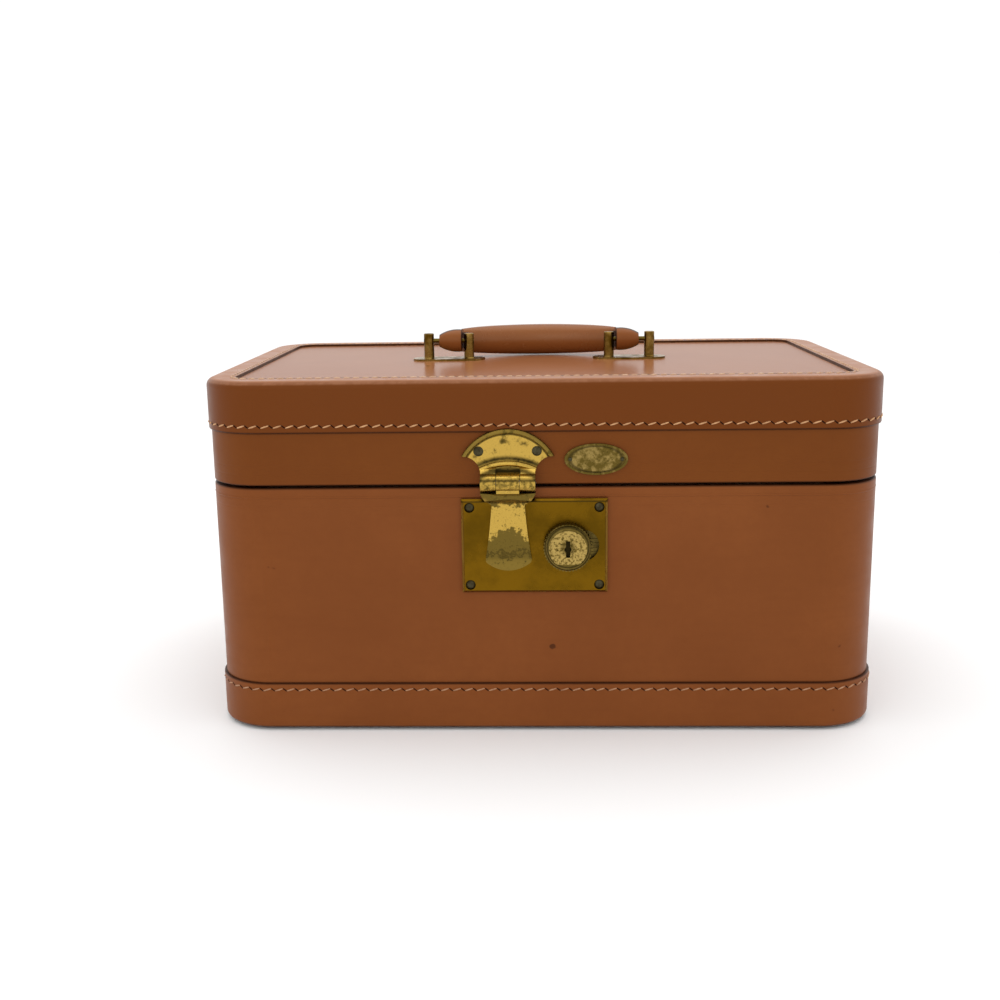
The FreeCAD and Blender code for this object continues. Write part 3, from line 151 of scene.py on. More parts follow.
# Knob, key plug, lock plate and badge
plug_low, plug_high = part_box("lock_plug")
plug_middle = (plug_low + plug_high) / 2
KEY_HALO = (0.0046, 0.0020, 0.0, 0.55)
KEY_HALO_GRIME = 0.6
# Keyhole walls painted dark, as the shade inside the hole
KEYHOLE_FACE = 0.00015
KEYHOLE_DEEP = 0.0003
KNOB_INNER_RING = (0.0097, 0.0008, 1.0)
KNOB_OUTER_RING = (0.0109, 0.0005, 1.0)
KNOB_RING_DARK = 0.8
plate_low, plate_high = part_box("lock_plate")
PLATE_BEVEL = 0.0012
PLATE_BEVEL_FRONT = 0.0001
PLATE_BEVEL_BACK = 0.0004
# Painted highlight on the bevels below the top one, a painted shade line along the top one, and painted shade
# darkening the plate towards the top
PLATE_BEVEL_HIGHLIGHT = 0.45
PLATE_TOP_SHADE_LINE = (plate_high.z - PLATE_BEVEL, 0.0005, 0.8)
PLATE_TOP_SHADE = 0.3
badge_low, badge_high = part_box("oval_badge")
BADGE_GROOVE = (0.83, 0.10, 0.7)
BADGE_RIM = (0.84, 0.90, 0.15, 0.65)
NOSE_EDGE_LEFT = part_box("handle_nose_left")[1].x
NOSE_EDGE_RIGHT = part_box("handle_nose_right")[0].x

# Patterns in the finishes: noise, the limits between which it shows, and its weakest and strongest share
Pattern = namedtuple("Pattern", "scale detail rough low high weak strong stretch", defaults=(0.0, 1.0, None))
LEATHER_CLOUD = Pattern(14.0, 5.0, 0.6, 0.30, 0.72, strong=0.60)
LEATHER_MOTTLE = Pattern(230.0, 6.0, 0.7, 0.25, 0.80, strong=0.30)
LEATHER_STREAK = Pattern(34.0, 3.0, 0.5, 0.48, 0.75, strong=0.16, stretch=(1.0, 1.0, 9.0))
LEATHER_SCUFF = Pattern(55.0, 3.0, 0.5, 0.735, 0.79, strong=0.28, stretch=(1.0, 1.0, 0.14))
LEATHER_SPOT = Pattern(110.0, 2.0, 0.4, 0.775, 0.81, strong=0.7)
# Patches that break up the painted highlight on the top edge
TOP_HIGHLIGHT_PATCHES = Pattern(300.0, 5.0, 0.65, 0.40, 0.66, 0.65, 1.0)
GROOVE_PATCHES = Pattern(330.0, 3.0, 0.6, 0.38, 0.60, 0.15, 0.65)
LEATHER_GLOSS = Pattern(75.0, 4.0, 0.6, 0.25, 0.75)
BRASS_FRECKLE = Pattern(1100.0, 4.0, 0.6, 0.56, 0.68)
KNUCKLE_WEAR = Pattern(520.0, 5.0, 0.65, 0.40, 0.62, 0.05, 0.85)
PLAIN_PATCH = Pattern(1.0, 5.0, 0.6, 0.3, 0.7)
CLOTH_CLOUD = Pattern(30.0, 4.0, 0.6, 0.3, 0.7)
MIRROR_SPOT = Pattern(300.0, 6.0, 0.6, 0.72, 0.80)

# Fine relief: noise with its scale, detail and roughness, and the depth of the bump
LEATHER_PORES = (1900.0, 3.0, 0.6)
LEATHER_SWELL = (45.0, 3.0, 0.5)
PORE_HEIGHT = 0.35
SWELL_HEIGHT = 2.0
LEATHER_DEPTH = 0.0004
BRASS_PATCH_DETAIL = 8.0
BRASS_PATCH_ROUGH = 0.65
BRASS_PITS = (700.0, 4.0, 0.6)
BRASS_SCRATCH = (260.0, 3.0, 0.5, (0.25, 1.0, 6.0))
BRASS_BUMP = 0.10
BRASS_DEPTH = 0.0002
CLOTH_WEAVE = (2400.0, 2.0, 0.5)
CLOTH_BUMP = 0.3
CLOTH_DEPTH = 0.0003

# Strength and gloss of the finishes
# Strength of the dark edges and of the painted shade beside them
EDGE_AND_SHADE_DARK = 0.85
INNER_EDGE_AND_SHADE_DARK = 0.8
# Strength of the painted highlight on the top edge
TOP_HIGHLIGHT_PALE = 0.42
GLOSS_DROP = 0.25
GLOSS_RISE = 0.4
TARNISH_ROUGHNESS = 0.24
CLOTH_ROUGHNESS = 0.75
CLOTH_SHEEN = 0.3
MIRROR_ROUGHNESS = 0.04
FLOOR_ROUGHNESS = 0.9

# Camera at the photograph's place
CAMERA_PLACE = Vector((0.00007, -0.6806, 0.2424))
CAMERA_YAW = math.radians(-2.04)
CAMERA_PITCH = math.radians(12.27)
CAMERA_ROLL = math.radians(-0.83)
CAMERA_LENS = 44.38
CAMERA_SENSOR = 36

# Floor and soft light
FLOOR_HALF = 12.0
SURROUNDINGS = 1.06
LIGHT_TARGET = (0, 0, 0.1)
OVERHEAD_PLACE = (0.0, 0.15, 1.6)
OVERHEAD_SIZE = (1.6, 1.2)
OVERHEAD_POWER = 6.0
FILL_PLACE = (-0.5, -1.6, 0.9)
FILL_SIZE = (1.2, 1.0)
FILL_POWER = 2.0

# Finishes, as linear colours
TAN = (0.205, 0.060, 0.0145, 1)
TAN_DARK = (0.160, 0.044, 0.0100, 1)
# Lid and binding leather: the base's tan painted darker, as painted shade, the lid's front catching less
# light from the floor
LID_TAN_SHADED = (0.161, 0.0445, 0.0068, 1)
LID_TAN_SHADED_DARK = (0.132, 0.034, 0.0055, 1)
BINDING_TAN_SHADED = (0.136, 0.034, 0.0042, 1)
GRIP_TAN = (0.235, 0.078, 0.0190, 1)
HANDLE_GOLD = (0.31, 0.195, 0.050, 1)
# Top panel's leather painted lighter than the walls' leather: painted sheen of the top face
SHEENED_PANEL_TAN = (0.310, 0.120, 0.0500, 1)
SHEENED_PANEL_TAN_DARK = (0.275, 0.102, 0.0410, 1)
# Painted sheen: paler tone given to the binding's top face where it catches the light
TOP_FACE_SHEEN_TAN = (0.350, 0.138, 0.0580, 1)
STRAP_DARK = (0.050, 0.020, 0.0080, 1)
TAN_EDGE = (0.022, 0.005, 0.0018, 1)
TAN_PALE = (0.46, 0.22, 0.12, 1)
SHEEN_TINT = (1.0, 0.72, 0.52, 1)
THREAD = (0.60, 0.330, 0.150, 1)
THREAD_SOILED = (0.43, 0.215, 0.092, 1)
TOP_THREAD = (0.68, 0.47, 0.310, 1)
TOP_THREAD_SOILED = (0.48, 0.28, 0.160, 1)
BAND_THREAD = (0.44, 0.24, 0.125, 1)
BAND_THREAD_SOILED = (0.29, 0.135, 0.066, 1)
AWL_HOLE_SHADE = (0.014, 0.004, 0.002, 1)
GOLD = (0.50, 0.320, 0.062, 1)
OLIVE = (0.125, 0.085, 0.017, 1)
PLATE_GOLD = (0.165, 0.082, 0.0040, 1)
PLATE_DULL = (0.105, 0.054, 0.0030, 1)
# Colour of the painted highlights on brass
BRASS_HIGHLIGHT = (0.42, 0.25, 0.05, 1)
PLUG_GOLD = (0.42, 0.29, 0.085, 1)
KNOB_GOLD = (0.165, 0.115, 0.028, 1)
BADGE_GOLD = (0.31, 0.215, 0.066, 1)
PATINA = (0.028, 0.020, 0.006, 1)
STEEL = (0.36, 0.35, 0.33, 1)
STEEL_DARK = (0.10, 0.095, 0.085, 1)
STEEL_STAINED = (0.20, 0.140, 0.035, 1)
STEEL_SHADE = (0.10, 0.070, 0.019, 1)
RIVET_DARK = (0.066, 0.056, 0.026, 1)
LINING = (0.40, 0.25, 0.15, 1)
LINING_SHADE = (0.30, 0.18, 0.10, 1)
BOARD = (0.26, 0.17, 0.09, 1)
MIRROR = (0.86, 0.88, 0.88, 1)
MIRROR_STAIN = (0.30, 0.27, 0.22, 1)
FLOOR = (0.97, 0.97, 0.97, 1)
WHITE = (1.0, 1.0, 1.0, 1)


# Node helpers

def add(tree, kind, inputs, **settings):
    """A new node; inputs that are sockets are joined, others are set as values."""
    node = tree.nodes.new(kind)
    for key, value in settings.items():
        setattr(node, key, value)
    for key, value in inputs.items():
        if isinstance(value, bpy.types.NodeSocket):
            tree.links.new(value, node.inputs[key])
        else:
            node.inputs[key].default_value = value
    return node


def start_finish(name):
    material = bpy.data.materials.new(name)
    material.use_nodes = True
    tree = material.node_tree
    shader = tree.nodes["Principled BSDF"]
    place = add(tree, "ShaderNodeTexCoord", {}).outputs["Object"]
    return material, tree, shader, place


def noise(tree, place, scale, detail, rough, stretch=None):
    if stretch:
        place = add(tree, "ShaderNodeMapping", {"Vector": place, "Scale": stretch}).outputs["Vector"]
    return add(tree, "ShaderNodeTexNoise", {"Vector": place, "Scale": scale, "Detail": detail,
                                            "Roughness": rough}).outputs["Fac"]


def spread(tree, value, low, high, to_low=0.0, to_high=1.0):
    """Value carried smoothly from one range to another."""
    return add(tree, "ShaderNodeMapRange", {"Value": value, "From Min": low, "From Max": high,
                                            "To Min": to_low, "To Max": to_high},
               interpolation_type="SMOOTHSTEP").outputs["Result"]


def patches(tree, place, pattern):
    """Share of a pattern at each place."""
    value = noise(tree, place, pattern.scale, pattern.detail, pattern.rough, pattern.stretch)
    return spread(tree, value, pattern.low, pattern.high, pattern.weak, pattern.strong)


def calc(tree, operation, a, b):
    return add(tree, "ShaderNodeMath", {0: a, 1: b}, operation=operation).outputs["Value"]


def mix(tree, share, a, b):
    return add(tree, "ShaderNodeMix", {0: share, 6: a, 7: b}, data_type="RGBA").outputs[2]


def split(tree, place):
    return add(tree, "ShaderNodeSeparateXYZ", {"Vector": place}).outputs


def near_level(tree, height, level, reach):
    """1 at a level, falling to 0 at a distance from it."""
    away = calc(tree, "ABSOLUTE", calc(tree, "SUBTRACT", height, level), 0.0)
    return spread(tree, away, reach, 0.0)


def stain(tree, value, level, reach, strength):
    """A strength at a level, falling to 0 at a distance from it."""
    return times(tree, near_level(tree, value, level, reach), strength)


def join(tree, shader, **sockets):
    for name, socket in sockets.items():
        tree.links.new(socket, shader.inputs[name.replace("_", " ")])


def vector(tree, operation, a, b=None):
    inputs = {0: a} if b is None else {0: a, 1: b}
    return add(tree, "ShaderNodeVectorMath", inputs, operation=operation).outputs["Vector"]


def vector_length(tree, offset):
    return add(tree, "ShaderNodeVectorMath", {0: offset}, operation="LENGTH").outputs["Value"]


def from_opening(tree, place):
    """Distance outside the binding's opening round the top panel, near its border."""
    core = (OPENING_HALF_X - OPENING_CORNER, OPENING_HALF_Y - OPENING_CORNER, 0.0)
    away = vector(tree, "ABSOLUTE", vector(tree, "MULTIPLY", place, (1.0, 1.0, 0.0)))
    past = vector(tree, "MAXIMUM", vector(tree, "SUBTRACT", away, core), (0.0, 0.0, 0.0))
    return calc(tree, "SUBTRACT", vector_length(tree, past), OPENING_CORNER)


def from_ring(tree, place, centre_z, radius):
    """Distance outside a ring on the fan plate, seen from the front."""
    offset = vector(tree, "SUBTRACT", place, (fan_middle_x, 0.0, centre_z))
    return calc(tree, "SUBTRACT", flat_length(tree, offset), radius)


def flat_length(tree, offset):
    """Length of an offset as seen from the front."""
    return vector_length(tree, vector(tree, "MULTIPLY", offset, (1.0, 0.0, 1.0)))


def total(tree, *shares):
    """Shares added up and kept between 0 and 1."""
    value = 0.0
    for share in shares:
        both = {0: value, 1: share}
        value = add(tree, "ShaderNodeMath", both, operation="ADD", use_clamp=True).outputs["Value"]
    return value


def times(tree, value, factor):
    return calc(tree, "MULTIPLY", value, factor)


# Finishes

def leather(name, base, dark, edges=(), creases=(), top_highlight=None, gloss=0.38, shine=0.15, cut_edge=None,
            seam=None, painted_top_sheen=None, inner_edge=None, grain=0.20):
    """Smooth tanned leather: soft mottling, pores, scuffs, dark cut edges at given levels with painted shade
    beside them, and painted sheen and highlight on the top where asked.
    """
    material, tree, shader, place = start_finish(name)
    across = split(tree, place)
    height = across["Z"]
    colour = mix(tree, patches(tree, place, LEATHER_CLOUD), base, dark)
    colour = mix(tree, patches(tree, place, LEATHER_MOTTLE), colour, dark)
    colour = mix(tree, patches(tree, place, LEATHER_STREAK), colour, dark)
    colour = mix(tree, patches(tree, place, LEATHER_SCUFF), colour, TAN_PALE)
    colour = mix(tree, patches(tree, place, LEATHER_SPOT), colour, TAN_EDGE)
    # Painted sheen: the top face made paler
    if painted_top_sheen:
        level, tone = painted_top_sheen
        colour = mix(tree, near_level(tree, height, level, TOP_FACE_REACH), colour, tone)
    # Painted highlight along the rounded top edge, broken up in patches
    if top_highlight:
        painted_highlight = times(tree, patches(tree, place, TOP_HIGHLIGHT_PATCHES), near_level(tree, height, *top_highlight))
        colour = mix(tree, times(tree, painted_highlight, TOP_HIGHLIGHT_PALE), colour, TAN_PALE)
    # Dark cut and turned edges, with painted shade beside them: in the seam's gap, along the binding's lower
    # and the band's upper edge, and a painted contact shadow at the band's foot
    for level, reach in edges:
        colour = mix(tree, stain(tree, height, level, reach, EDGE_AND_SHADE_DARK), colour, TAN_EDGE)
    # Dark cut edge of the opening; on the panel, painted shadow of the binding's step; the stitch groove
    # darkened in patches
    if inner_edge:
        out = from_opening(tree, place)
        groove_patches = patches(tree, place, GROOVE_PATCHES)
        colour = mix(tree, stain(tree, out, TOP_GROOVE_OUT, GROOVE_REACH, groove_patches), colour, TAN_EDGE)
        colour = mix(tree, stain(tree, out, *inner_edge, INNER_EDGE_AND_SHADE_DARK), colour, TAN_EDGE)
    if cut_edge:
        colour = mix(tree, near_level(tree, across["X"], *cut_edge), colour, TAN_EDGE)
    if seam:
        front, back = seam
        behind = spread(tree, across["Y"], front - SEAM_FADE, front + SEAM_FADE)
        before = spread(tree, across["Y"], back + SEAM_FADE, back - SEAM_FADE)
        colour = mix(tree, times(tree, behind, before), colour, TAN_EDGE)
    pores = times(tree, noise(tree, place, *LEATHER_PORES), PORE_HEIGHT)
    swell = times(tree, noise(tree, place, *LEATHER_SWELL), SWELL_HEIGHT)
    relief = calc(tree, "ADD", pores, swell)
    for level, reach in creases:
        relief = calc(tree, "SUBTRACT", relief, near_level(tree, height, level, reach))
    bump = add(tree, "ShaderNodeBump", {"Strength": grain, "Distance": LEATHER_DEPTH, "Height": relief})
    sheen = LEATHER_GLOSS._replace(weak=gloss - GLOSS_DROP * grain, strong=gloss + GLOSS_RISE * grain)
    rough = patches(tree, place, sheen)
    join(tree, shader, Base_Color=colour, Roughness=rough, Normal=bump.outputs["Normal"])
    shader.inputs["Specular IOR Level"].default_value = shine
    shader.inputs["Specular Tint"].default_value = SHEEN_TINT
    return material


def brass(name, bright, dull, low, high, scale=130.0, polish=0.22, freckles=0.35, shade=None):
    """Old brass, dull in patches; shade gives by place its dullness, its grime and painted shade, and painted
    highlights.
    """
    material, tree, shader, place = start_finish(name)
    patch = noise(tree, place, scale, BRASS_PATCH_DETAIL, BRASS_PATCH_ROUGH)
    tarnish_and_shade = spread(tree, patch, low, high)
    grime_and_shade, painted_highlight = times(tree, patches(tree, place, BRASS_FRECKLE), freckles), 0.0
    if shade:
        added, deep, painted_highlight = shade(tree, place, patch)
        tarnish_and_shade = total(tree, tarnish_and_shade, added)
        grime_and_shade = total(tree, grime_and_shade, deep)
    # Painted highlights, then grime and painted shade, over the brass's own tone
    colour = mix(tree, painted_highlight, mix(tree, tarnish_and_shade, bright, dull), BRASS_HIGHLIGHT)
    colour = mix(tree, grime_and_shade, colour, PATINA)
    rough = spread(tree, total(tree, tarnish_and_shade, grime_and_shade), 0.0, 1.0, polish, polish + TARNISH_ROUGHNESS)
    pits, scratch = noise(tree, place, *BRASS_PITS), noise(tree, place, *BRASS_SCRATCH)
    relief = calc(tree, "ADD", pits, calc(tree, "ADD", patch, scratch))
    bump = add(tree, "ShaderNodeBump", {"Strength": BRASS_BUMP, "Distance": BRASS_DEPTH, "Height": relief})
    join(tree, shader, Base_Color=colour, Roughness=rough, Normal=bump.outputs["Normal"])
    shader.inputs["Metallic"].default_value = 1.0
    return material


def fan_tarnish_and_shade(tree, place, patch):
    """Dull bead round the top with a dark groove inside it, and grime in the hollows by the lower rib;
    painted shade in the notch and a painted dark reflection along the knuckles.
    """
    rim = from_ring(tree, place, fan_high.z - FAN_ARC_RADIUS, FAN_ARC_RADIUS)
    rib = from_ring(tree, place, FAN_RIB_CENTRE_Z, FAN_RIB_RADIUS)
    height = split(tree, place)["Z"]
    bead = spread(tree, rim, -FAN_RIM_WIDTH - FAN_RIM_FADE, -FAN_RIM_WIDTH + FAN_RIM_FADE)
    hollow = stain(tree, rib, FAN_HOLLOW_OUT, FAN_HOLLOW_REACH, spread(tree, patch, *FAN_RAGGED))
    smear = times(tree, stain(tree, rim, *FAN_SMEAR), spread(tree, patch, *FAN_SMEAR_LIMITS))
    notch_shade = times(tree, stain(tree, height, *NOTCH_SHADE), near_middle(tree, place, NOTCH_SHADE_HALF))
    grime_and_shade = total(tree, stain(tree, rim, *FAN_GROOVE), hollow, stain(tree, rib, *FAN_FOOT),
                  stain(tree, height, *KNUCKLE_DARK_REFLECTION), smear, notch_shade)
    return total(tree, times(tree, bead, FAN_RIM_DULL), knuckle_wear(tree, place)), grime_and_shade, 0.0


def near_middle(tree, place, half):
    """1 across the hasp's middle, falling to 0 past half a width."""
    aside = calc(tree, "ABSOLUTE", calc(tree, "SUBTRACT", split(tree, place)["X"], fan_middle_x), 0.0)
    return spread(tree, aside, half + NOTCH_FADE, half - NOTCH_FADE)


def knuckle_wear(tree, place):
    """Mottled dullness on the hinge knuckles."""
    height = split(tree, place)["Z"]
    return stain(tree, height, KNUCKLE_MIDDLE_Z, KNUCKLE_REACH, patches(tree, place, KNUCKLE_WEAR))


def tongue_tarnish_and_light(tree, place, patch):
    """The tongue is rubbed bright above and dull below, with a ragged border; the head is dull, with painted
    highlights at the cup's sides; a painted dark reflection runs along the knuckle.
    """
    across = split(tree, place)
    height = across["Z"]
    shift = times(tree, calc(tree, "SUBTRACT", patch, RAGGED_MIDDLE), RAGGED_REACH)
    ragged = calc(tree, "ADD", height, shift)
    aside = calc(tree, "SUBTRACT", across["X"], fan_middle_x)
    arched = calc(tree, "ADD", ragged, times(tree, times(tree, aside, aside), RUBBED_ARCH))
    low = spread(tree, arched, RUBBED_LOW_Z + RUBBED_FADE, RUBBED_LOW_Z - RUBBED_FADE)
    foot = spread(tree, height, TONGUE_FOOT_Z - TONGUE_FOOT_FADE, TONGUE_FOOT_Z + TONGUE_FOOT_FADE,
                  TONGUE_FOOT_DULL, TONGUE_DULL)
    above = spread(tree, ragged, *(HEAD_LOW_Z + fade for fade in HEAD_LOW_FADE))
    under = spread(tree, height, HEAD_HIGH_Z + HEAD_HIGH_FADE, HEAD_HIGH_Z - HEAD_HIGH_FADE)
    head = times(tree, above, under)
    grime_and_shade = total(tree, stain(tree, ragged, *TONGUE_BAND), stain(tree, height, *KNUCKLE_DARK_REFLECTION),
                  times(tree, head, HEAD_GRIME))
    cup_side_highlight = near_level(tree, calc(tree, "ABSOLUTE", aside, 0.0), CUP_SIDE, CUP_SIDE_REACH)
    dull = total(tree, times(tree, low, foot), times(tree, head, HEAD_DULL), knuckle_wear(tree, place))
    return dull, grime_and_shade, times(tree, cup_side_highlight, stain(tree, height, *CUP_HIGHLIGHT))


def from_plug(tree, place):
    """Distance from the key plug's middle, seen from the front."""
    return flat_length(tree, vector(tree, "SUBTRACT", place, tuple(plug_middle)))


def plug_tarnish_and_shade(tree, place, patch):
    """Keyhole painted dark inside as shade, and grime round it where keys have scraped."""
    halo = spread(tree, from_plug(tree, place), *KEY_HALO)
    keyhole_shade = spread(tree, split(tree, place)["Y"], plug_low.y + KEYHOLE_FACE, plug_low.y + KEYHOLE_DEEP)
    return halo, total(tree, times(tree, halo, KEY_HALO_GRIME), keyhole_shade), 0.0


def knob_rings(tree, place, patch):
    """Two dark rings round the key plug."""
    out = from_plug(tree, place)
    rings = total(tree, stain(tree, out, *KNOB_INNER_RING), stain(tree, out, *KNOB_OUTER_RING))
    return 0.0, times(tree, rings, KNOB_RING_DARK), 0.0


def plate_painted_light(tree, place, patch):
    """Painted highlight along the bevels below the top one, a painted shade line along the top one, and the
    plate painted darker towards the top.
    """
    across = split(tree, place)
    bevel = spread(tree, across["Y"], plate_low.y + PLATE_BEVEL_FRONT, plate_low.y + PLATE_BEVEL_BACK)
    below = spread(tree, across["Z"], plate_high.z - PLATE_BEVEL, plate_high.z - 2 * PLATE_BEVEL)
    # Painted shade: the plate darker towards the top
    dull = spread(tree, across["Z"], plate_low.z, plate_high.z, 0.0, PLATE_TOP_SHADE)
    painted_highlight = times(tree, times(tree, bevel, below), PLATE_BEVEL_HIGHLIGHT)
    return dull, stain(tree, across["Z"], *PLATE_TOP_SHADE_LINE), painted_highlight


def badge_tarnish(tree, place, patch):
    """Grime inside the badge's raised rim and a dull rim."""
    middle = (badge_low + badge_high) / 2
    half = (badge_high - badge_low) / 2
    offset = vector(tree, "SUBTRACT", place, tuple(middle))
    out = flat_length(tree, vector(tree, "MULTIPLY", offset, (1 / half.x, 0.0, 1 / half.z)))
    return spread(tree, out, *BADGE_RIM), stain(tree, out, *BADGE_GROOVE), 0.0


def plain(name, base, other, scale, rough, metallic=0.0, shine=0.5):
    """One colour with patches of another."""
    material, tree, shader, place = start_finish(name)
    patch = patches(tree, place, PLAIN_PATCH._replace(scale=scale))
    join(tree, shader, Base_Color=mix(tree, patch, base, other))
    shader.inputs["Roughness"].default_value = rough
    shader.inputs["Metallic"].default_value = metallic
    shader.inputs["Specular IOR Level"].default_value = shine
    return material


def cloth(name, base, shade):
    """Close-woven lining with a slight sheen."""
    material, tree, shader, place = start_finish(name)
    weave = noise(tree, place, *CLOTH_WEAVE)
    bump = add(tree, "ShaderNodeBump", {"Strength": CLOTH_BUMP, "Distance": CLOTH_DEPTH, "Height": weave})
    colour = mix(tree, patches(tree, place, CLOTH_CLOUD), base, shade)
    join(tree, shader, Base_Color=colour, Normal=bump.outputs["Normal"])
    shader.inputs["Roughness"].default_value = CLOTH_ROUGHNESS
    shader.inputs["Sheen Weight"].default_value = CLOTH_SHEEN
    return material


def mirror_finish():
    """Silvered glass with a few stains."""
    material, tree, shader, place = start_finish("mirror_silver")
    join(tree, shader, Base_Color=mix(tree, patches(tree, place, MIRROR_SPOT), MIRROR, MIRROR_STAIN))
    shader.inputs["Metallic"].default_value = 1.0
    shader.inputs["Roughness"].default_value = MIRROR_ROUGHNESS
    return material


base_hem = [(base_rim - drop, HEM_CREASE_REACH) for drop in HEM_CREASES]
lid_hem = [(lid_rim + rise, HEM_CREASE_REACH) for rise in HEM_CREASES]
base_leather = leather("base_leather", TAN, TAN_DARK,
                       [(base_rim, SEAM_EDGE_AND_SHADE_REACH), (band_high.z, EDGE_AND_SHADE_REACH)], base_hem)
finishes = {
    base_leather: ["base_cover"],
    leather("lid_leather", LID_TAN_SHADED, LID_TAN_SHADED_DARK,
            [(lid_rim, SEAM_EDGE_AND_SHADE_REACH), (outer_low.z, EDGE_AND_SHADE_REACH)], lid_hem): ["lid_cover"],
    leather("panel_leather", SHEENED_PANEL_TAN, SHEENED_PANEL_TAN_DARK, gloss=0.22, shine=0.027, grain=0.012,
            inner_edge=(0.0, PANEL_EDGE_SHADE_REACH)): ["lid_top_panel"],
    leather("band_leather", TAN, TAN_DARK,
            [(band_high.z, EDGE_AND_SHADE_REACH), (band_low.z, BAND_FOOT_SHADE_REACH)]): ["base_binding"],
    leather("bottom_leather", TAN, TAN_DARK): ["bottom_panel"],
    leather("binding_leather", BINDING_TAN_SHADED, LID_TAN_SHADED_DARK, [(outer_low.z, EDGE_AND_SHADE_REACH)],
            top_highlight=(outer_high.z - TOP_HIGHLIGHT_DROP, TOP_HIGHLIGHT_REACH), gloss=0.32,
            painted_top_sheen=(outer_high.z, TOP_FACE_SHEEN_TAN), inner_edge=(0.0, INNER_EDGE_REACH)): ["lid_binding"],
    leather("grip_leather", GRIP_TAN, TAN, gloss=0.24, shine=0.5): ["handle_grip"],
    leather("nose_leather_left", GRIP_TAN, TAN, gloss=0.30, shine=0.25, seam=NOSE_SEAM,
            cut_edge=(NOSE_EDGE_LEFT, NOSE_CUT_REACH)): ["handle_nose_left"],
    leather("nose_leather_right", GRIP_TAN, TAN, gloss=0.30, shine=0.25, seam=NOSE_SEAM,
            cut_edge=(NOSE_EDGE_RIGHT, NOSE_CUT_REACH)): ["handle_nose_right"],
    brass("lock_plate_brass", PLATE_GOLD, PLATE_DULL, low=0.36, high=0.70, scale=34.0, polish=0.14,
          freckles=0.06, shade=plate_painted_light): ["lock_plate"],
    brass("fan_brass", GOLD, OLIVE, low=0.54, high=0.68, scale=150.0, polish=0.20, freckles=0.25,
          shade=fan_tarnish_and_shade): ["hasp_plate"],
    brass("tongue_brass", GOLD, OLIVE, low=0.60, high=0.70, scale=420.0, polish=0.24, freckles=0.30,
          shade=tongue_tarnish_and_light): ["hasp"],
    brass("knob_brass", KNOB_GOLD, OLIVE, low=0.40, high=0.65, shade=knob_rings): ["lock_knob"],
    brass("plug_brass", PLUG_GOLD, OLIVE, low=0.46, high=0.62, scale=700.0, polish=0.32, freckles=0.75,
          shade=plug_tarnish_and_shade): ["lock_plug"],
    brass("badge_brass", BADGE_GOLD, OLIVE, low=0.38, high=0.62, scale=260.0, polish=0.30, freckles=0.5,
          shade=badge_tarnish): ["oval_badge"],
    brass("handle_brass", HANDLE_GOLD, PLATE_DULL, low=0.35, high=0.65): [
        "handle_mount_left", "handle_mount_right", "handle_posts_left", "handle_posts_right"],
    brass("rod_brass", OLIVE, PATINA, low=0.40, high=0.70): ["handle_rod_left", "handle_rod_right"],
    brass("rubbed_gold_brass", GOLD, OLIVE, low=0.50, high=0.64): [
        "hasp_staple", "hinge_leaf_base_left", "hinge_leaf_base_right", "hinge_leaf_lid_left",
        "hinge_leaf_lid_right", "stay_bar_left", "stay_bar_right", "stay_lid_pin_left",
        "stay_lid_pin_right", "stay_stud_left", "stay_stud_right", "mirror_frame"],
    plain("worn_steel", STEEL, STEEL_DARK, scale=300.0, rough=0.35, metallic=1.0): [
        "hinge_pin_left", "hinge_pin_right", "hasp_pin", "lock_bolt"],
    plain("blackened_strap", STRAP_DARK, TAN_EDGE, scale=200.0, rough=0.5, metallic=0.3): ["handle_core"],
    plain("lock_back_steel", STEEL_STAINED, STEEL_SHADE, scale=300.0, rough=0.5, metallic=1.0): [
        "lock_back_plate"],
    plain("dark_rivet", RIVET_DARK, PATINA, scale=500.0, rough=0.42, metallic=0.8): [
        "lock_plate_rivets", "hasp_plate_rivets", "badge_pins", "hinge_base_rivets", "hinge_lid_rivets"],
    cloth("lining_cloth", LINING, LINING_SHADE): [
        "base_lining", "lid_guide_strips", "lid_lining", "mirror_backing"],
    plain("fibre_board", BOARD, TAN_DARK, scale=200.0, rough=0.8): ["base_shell", "lid_shell"],
    mirror_finish(): ["mirror_glass"],
}
for material, names in finishes.items():
    for name in names:
        nodes[name].data.materials.clear()
        nodes[name].data.materials.append(material)


# Stitching

def case_runs(inset, corner):
    """Straight runs and corners of the case's rounded outline, in order."""
    x, y = half_width - inset - corner, half_depth - inset - corner
    runs = []
    for turn, (along, side) in enumerate(((y, x), (x, y), (y, x), (x, y))):
        angle = turn * math.pi / 2
        out, forward = Vector((math.cos(angle), math.sin(angle))), Vector((-math.sin(angle), math.cos(angle)))
        runs.append((2 * along, out * (side + corner) - forward * along, forward, out, None))
        runs.append((corner * math.pi / 2, out * side + forward * along, None, None, angle))
    return runs


def case_path(inset, corner, pitch, shift):
    """Places and outward directions at an even pitch round the outline, moved on by a share of it."""
    runs = case_runs(inset, corner)
    length = sum(run[0] for run in runs)
    count = round(length / pitch)
    for index in range(count):
        left = (index + shift) * length / count
        for run_length, start, forward, out, angle in runs:
            if left <= run_length:
                break
            left -= run_length
        if angle is None:
            yield start + forward * left, out
        else:
            turned = angle + left / corner
            out = Vector((math.cos(turned), math.sin(turned)))
            yield start + out * corner, out


def thread_piece(bm, place, along, normal, length, width, rise):
    """One slim oval: a thread over the leather, or an awl slit painted dark as the shade in its hole."""
    across = normal.cross(along)
    axes = Matrix((along * length / 2, across * width / 2, normal * rise)).transposed()
    bmesh.ops.create_uvsphere(bm, u_segments=THREAD_SIDES, v_segments=THREAD_RINGS, radius=1.0,
                              matrix=Matrix.Translation(place) @ axes.to_4x4())


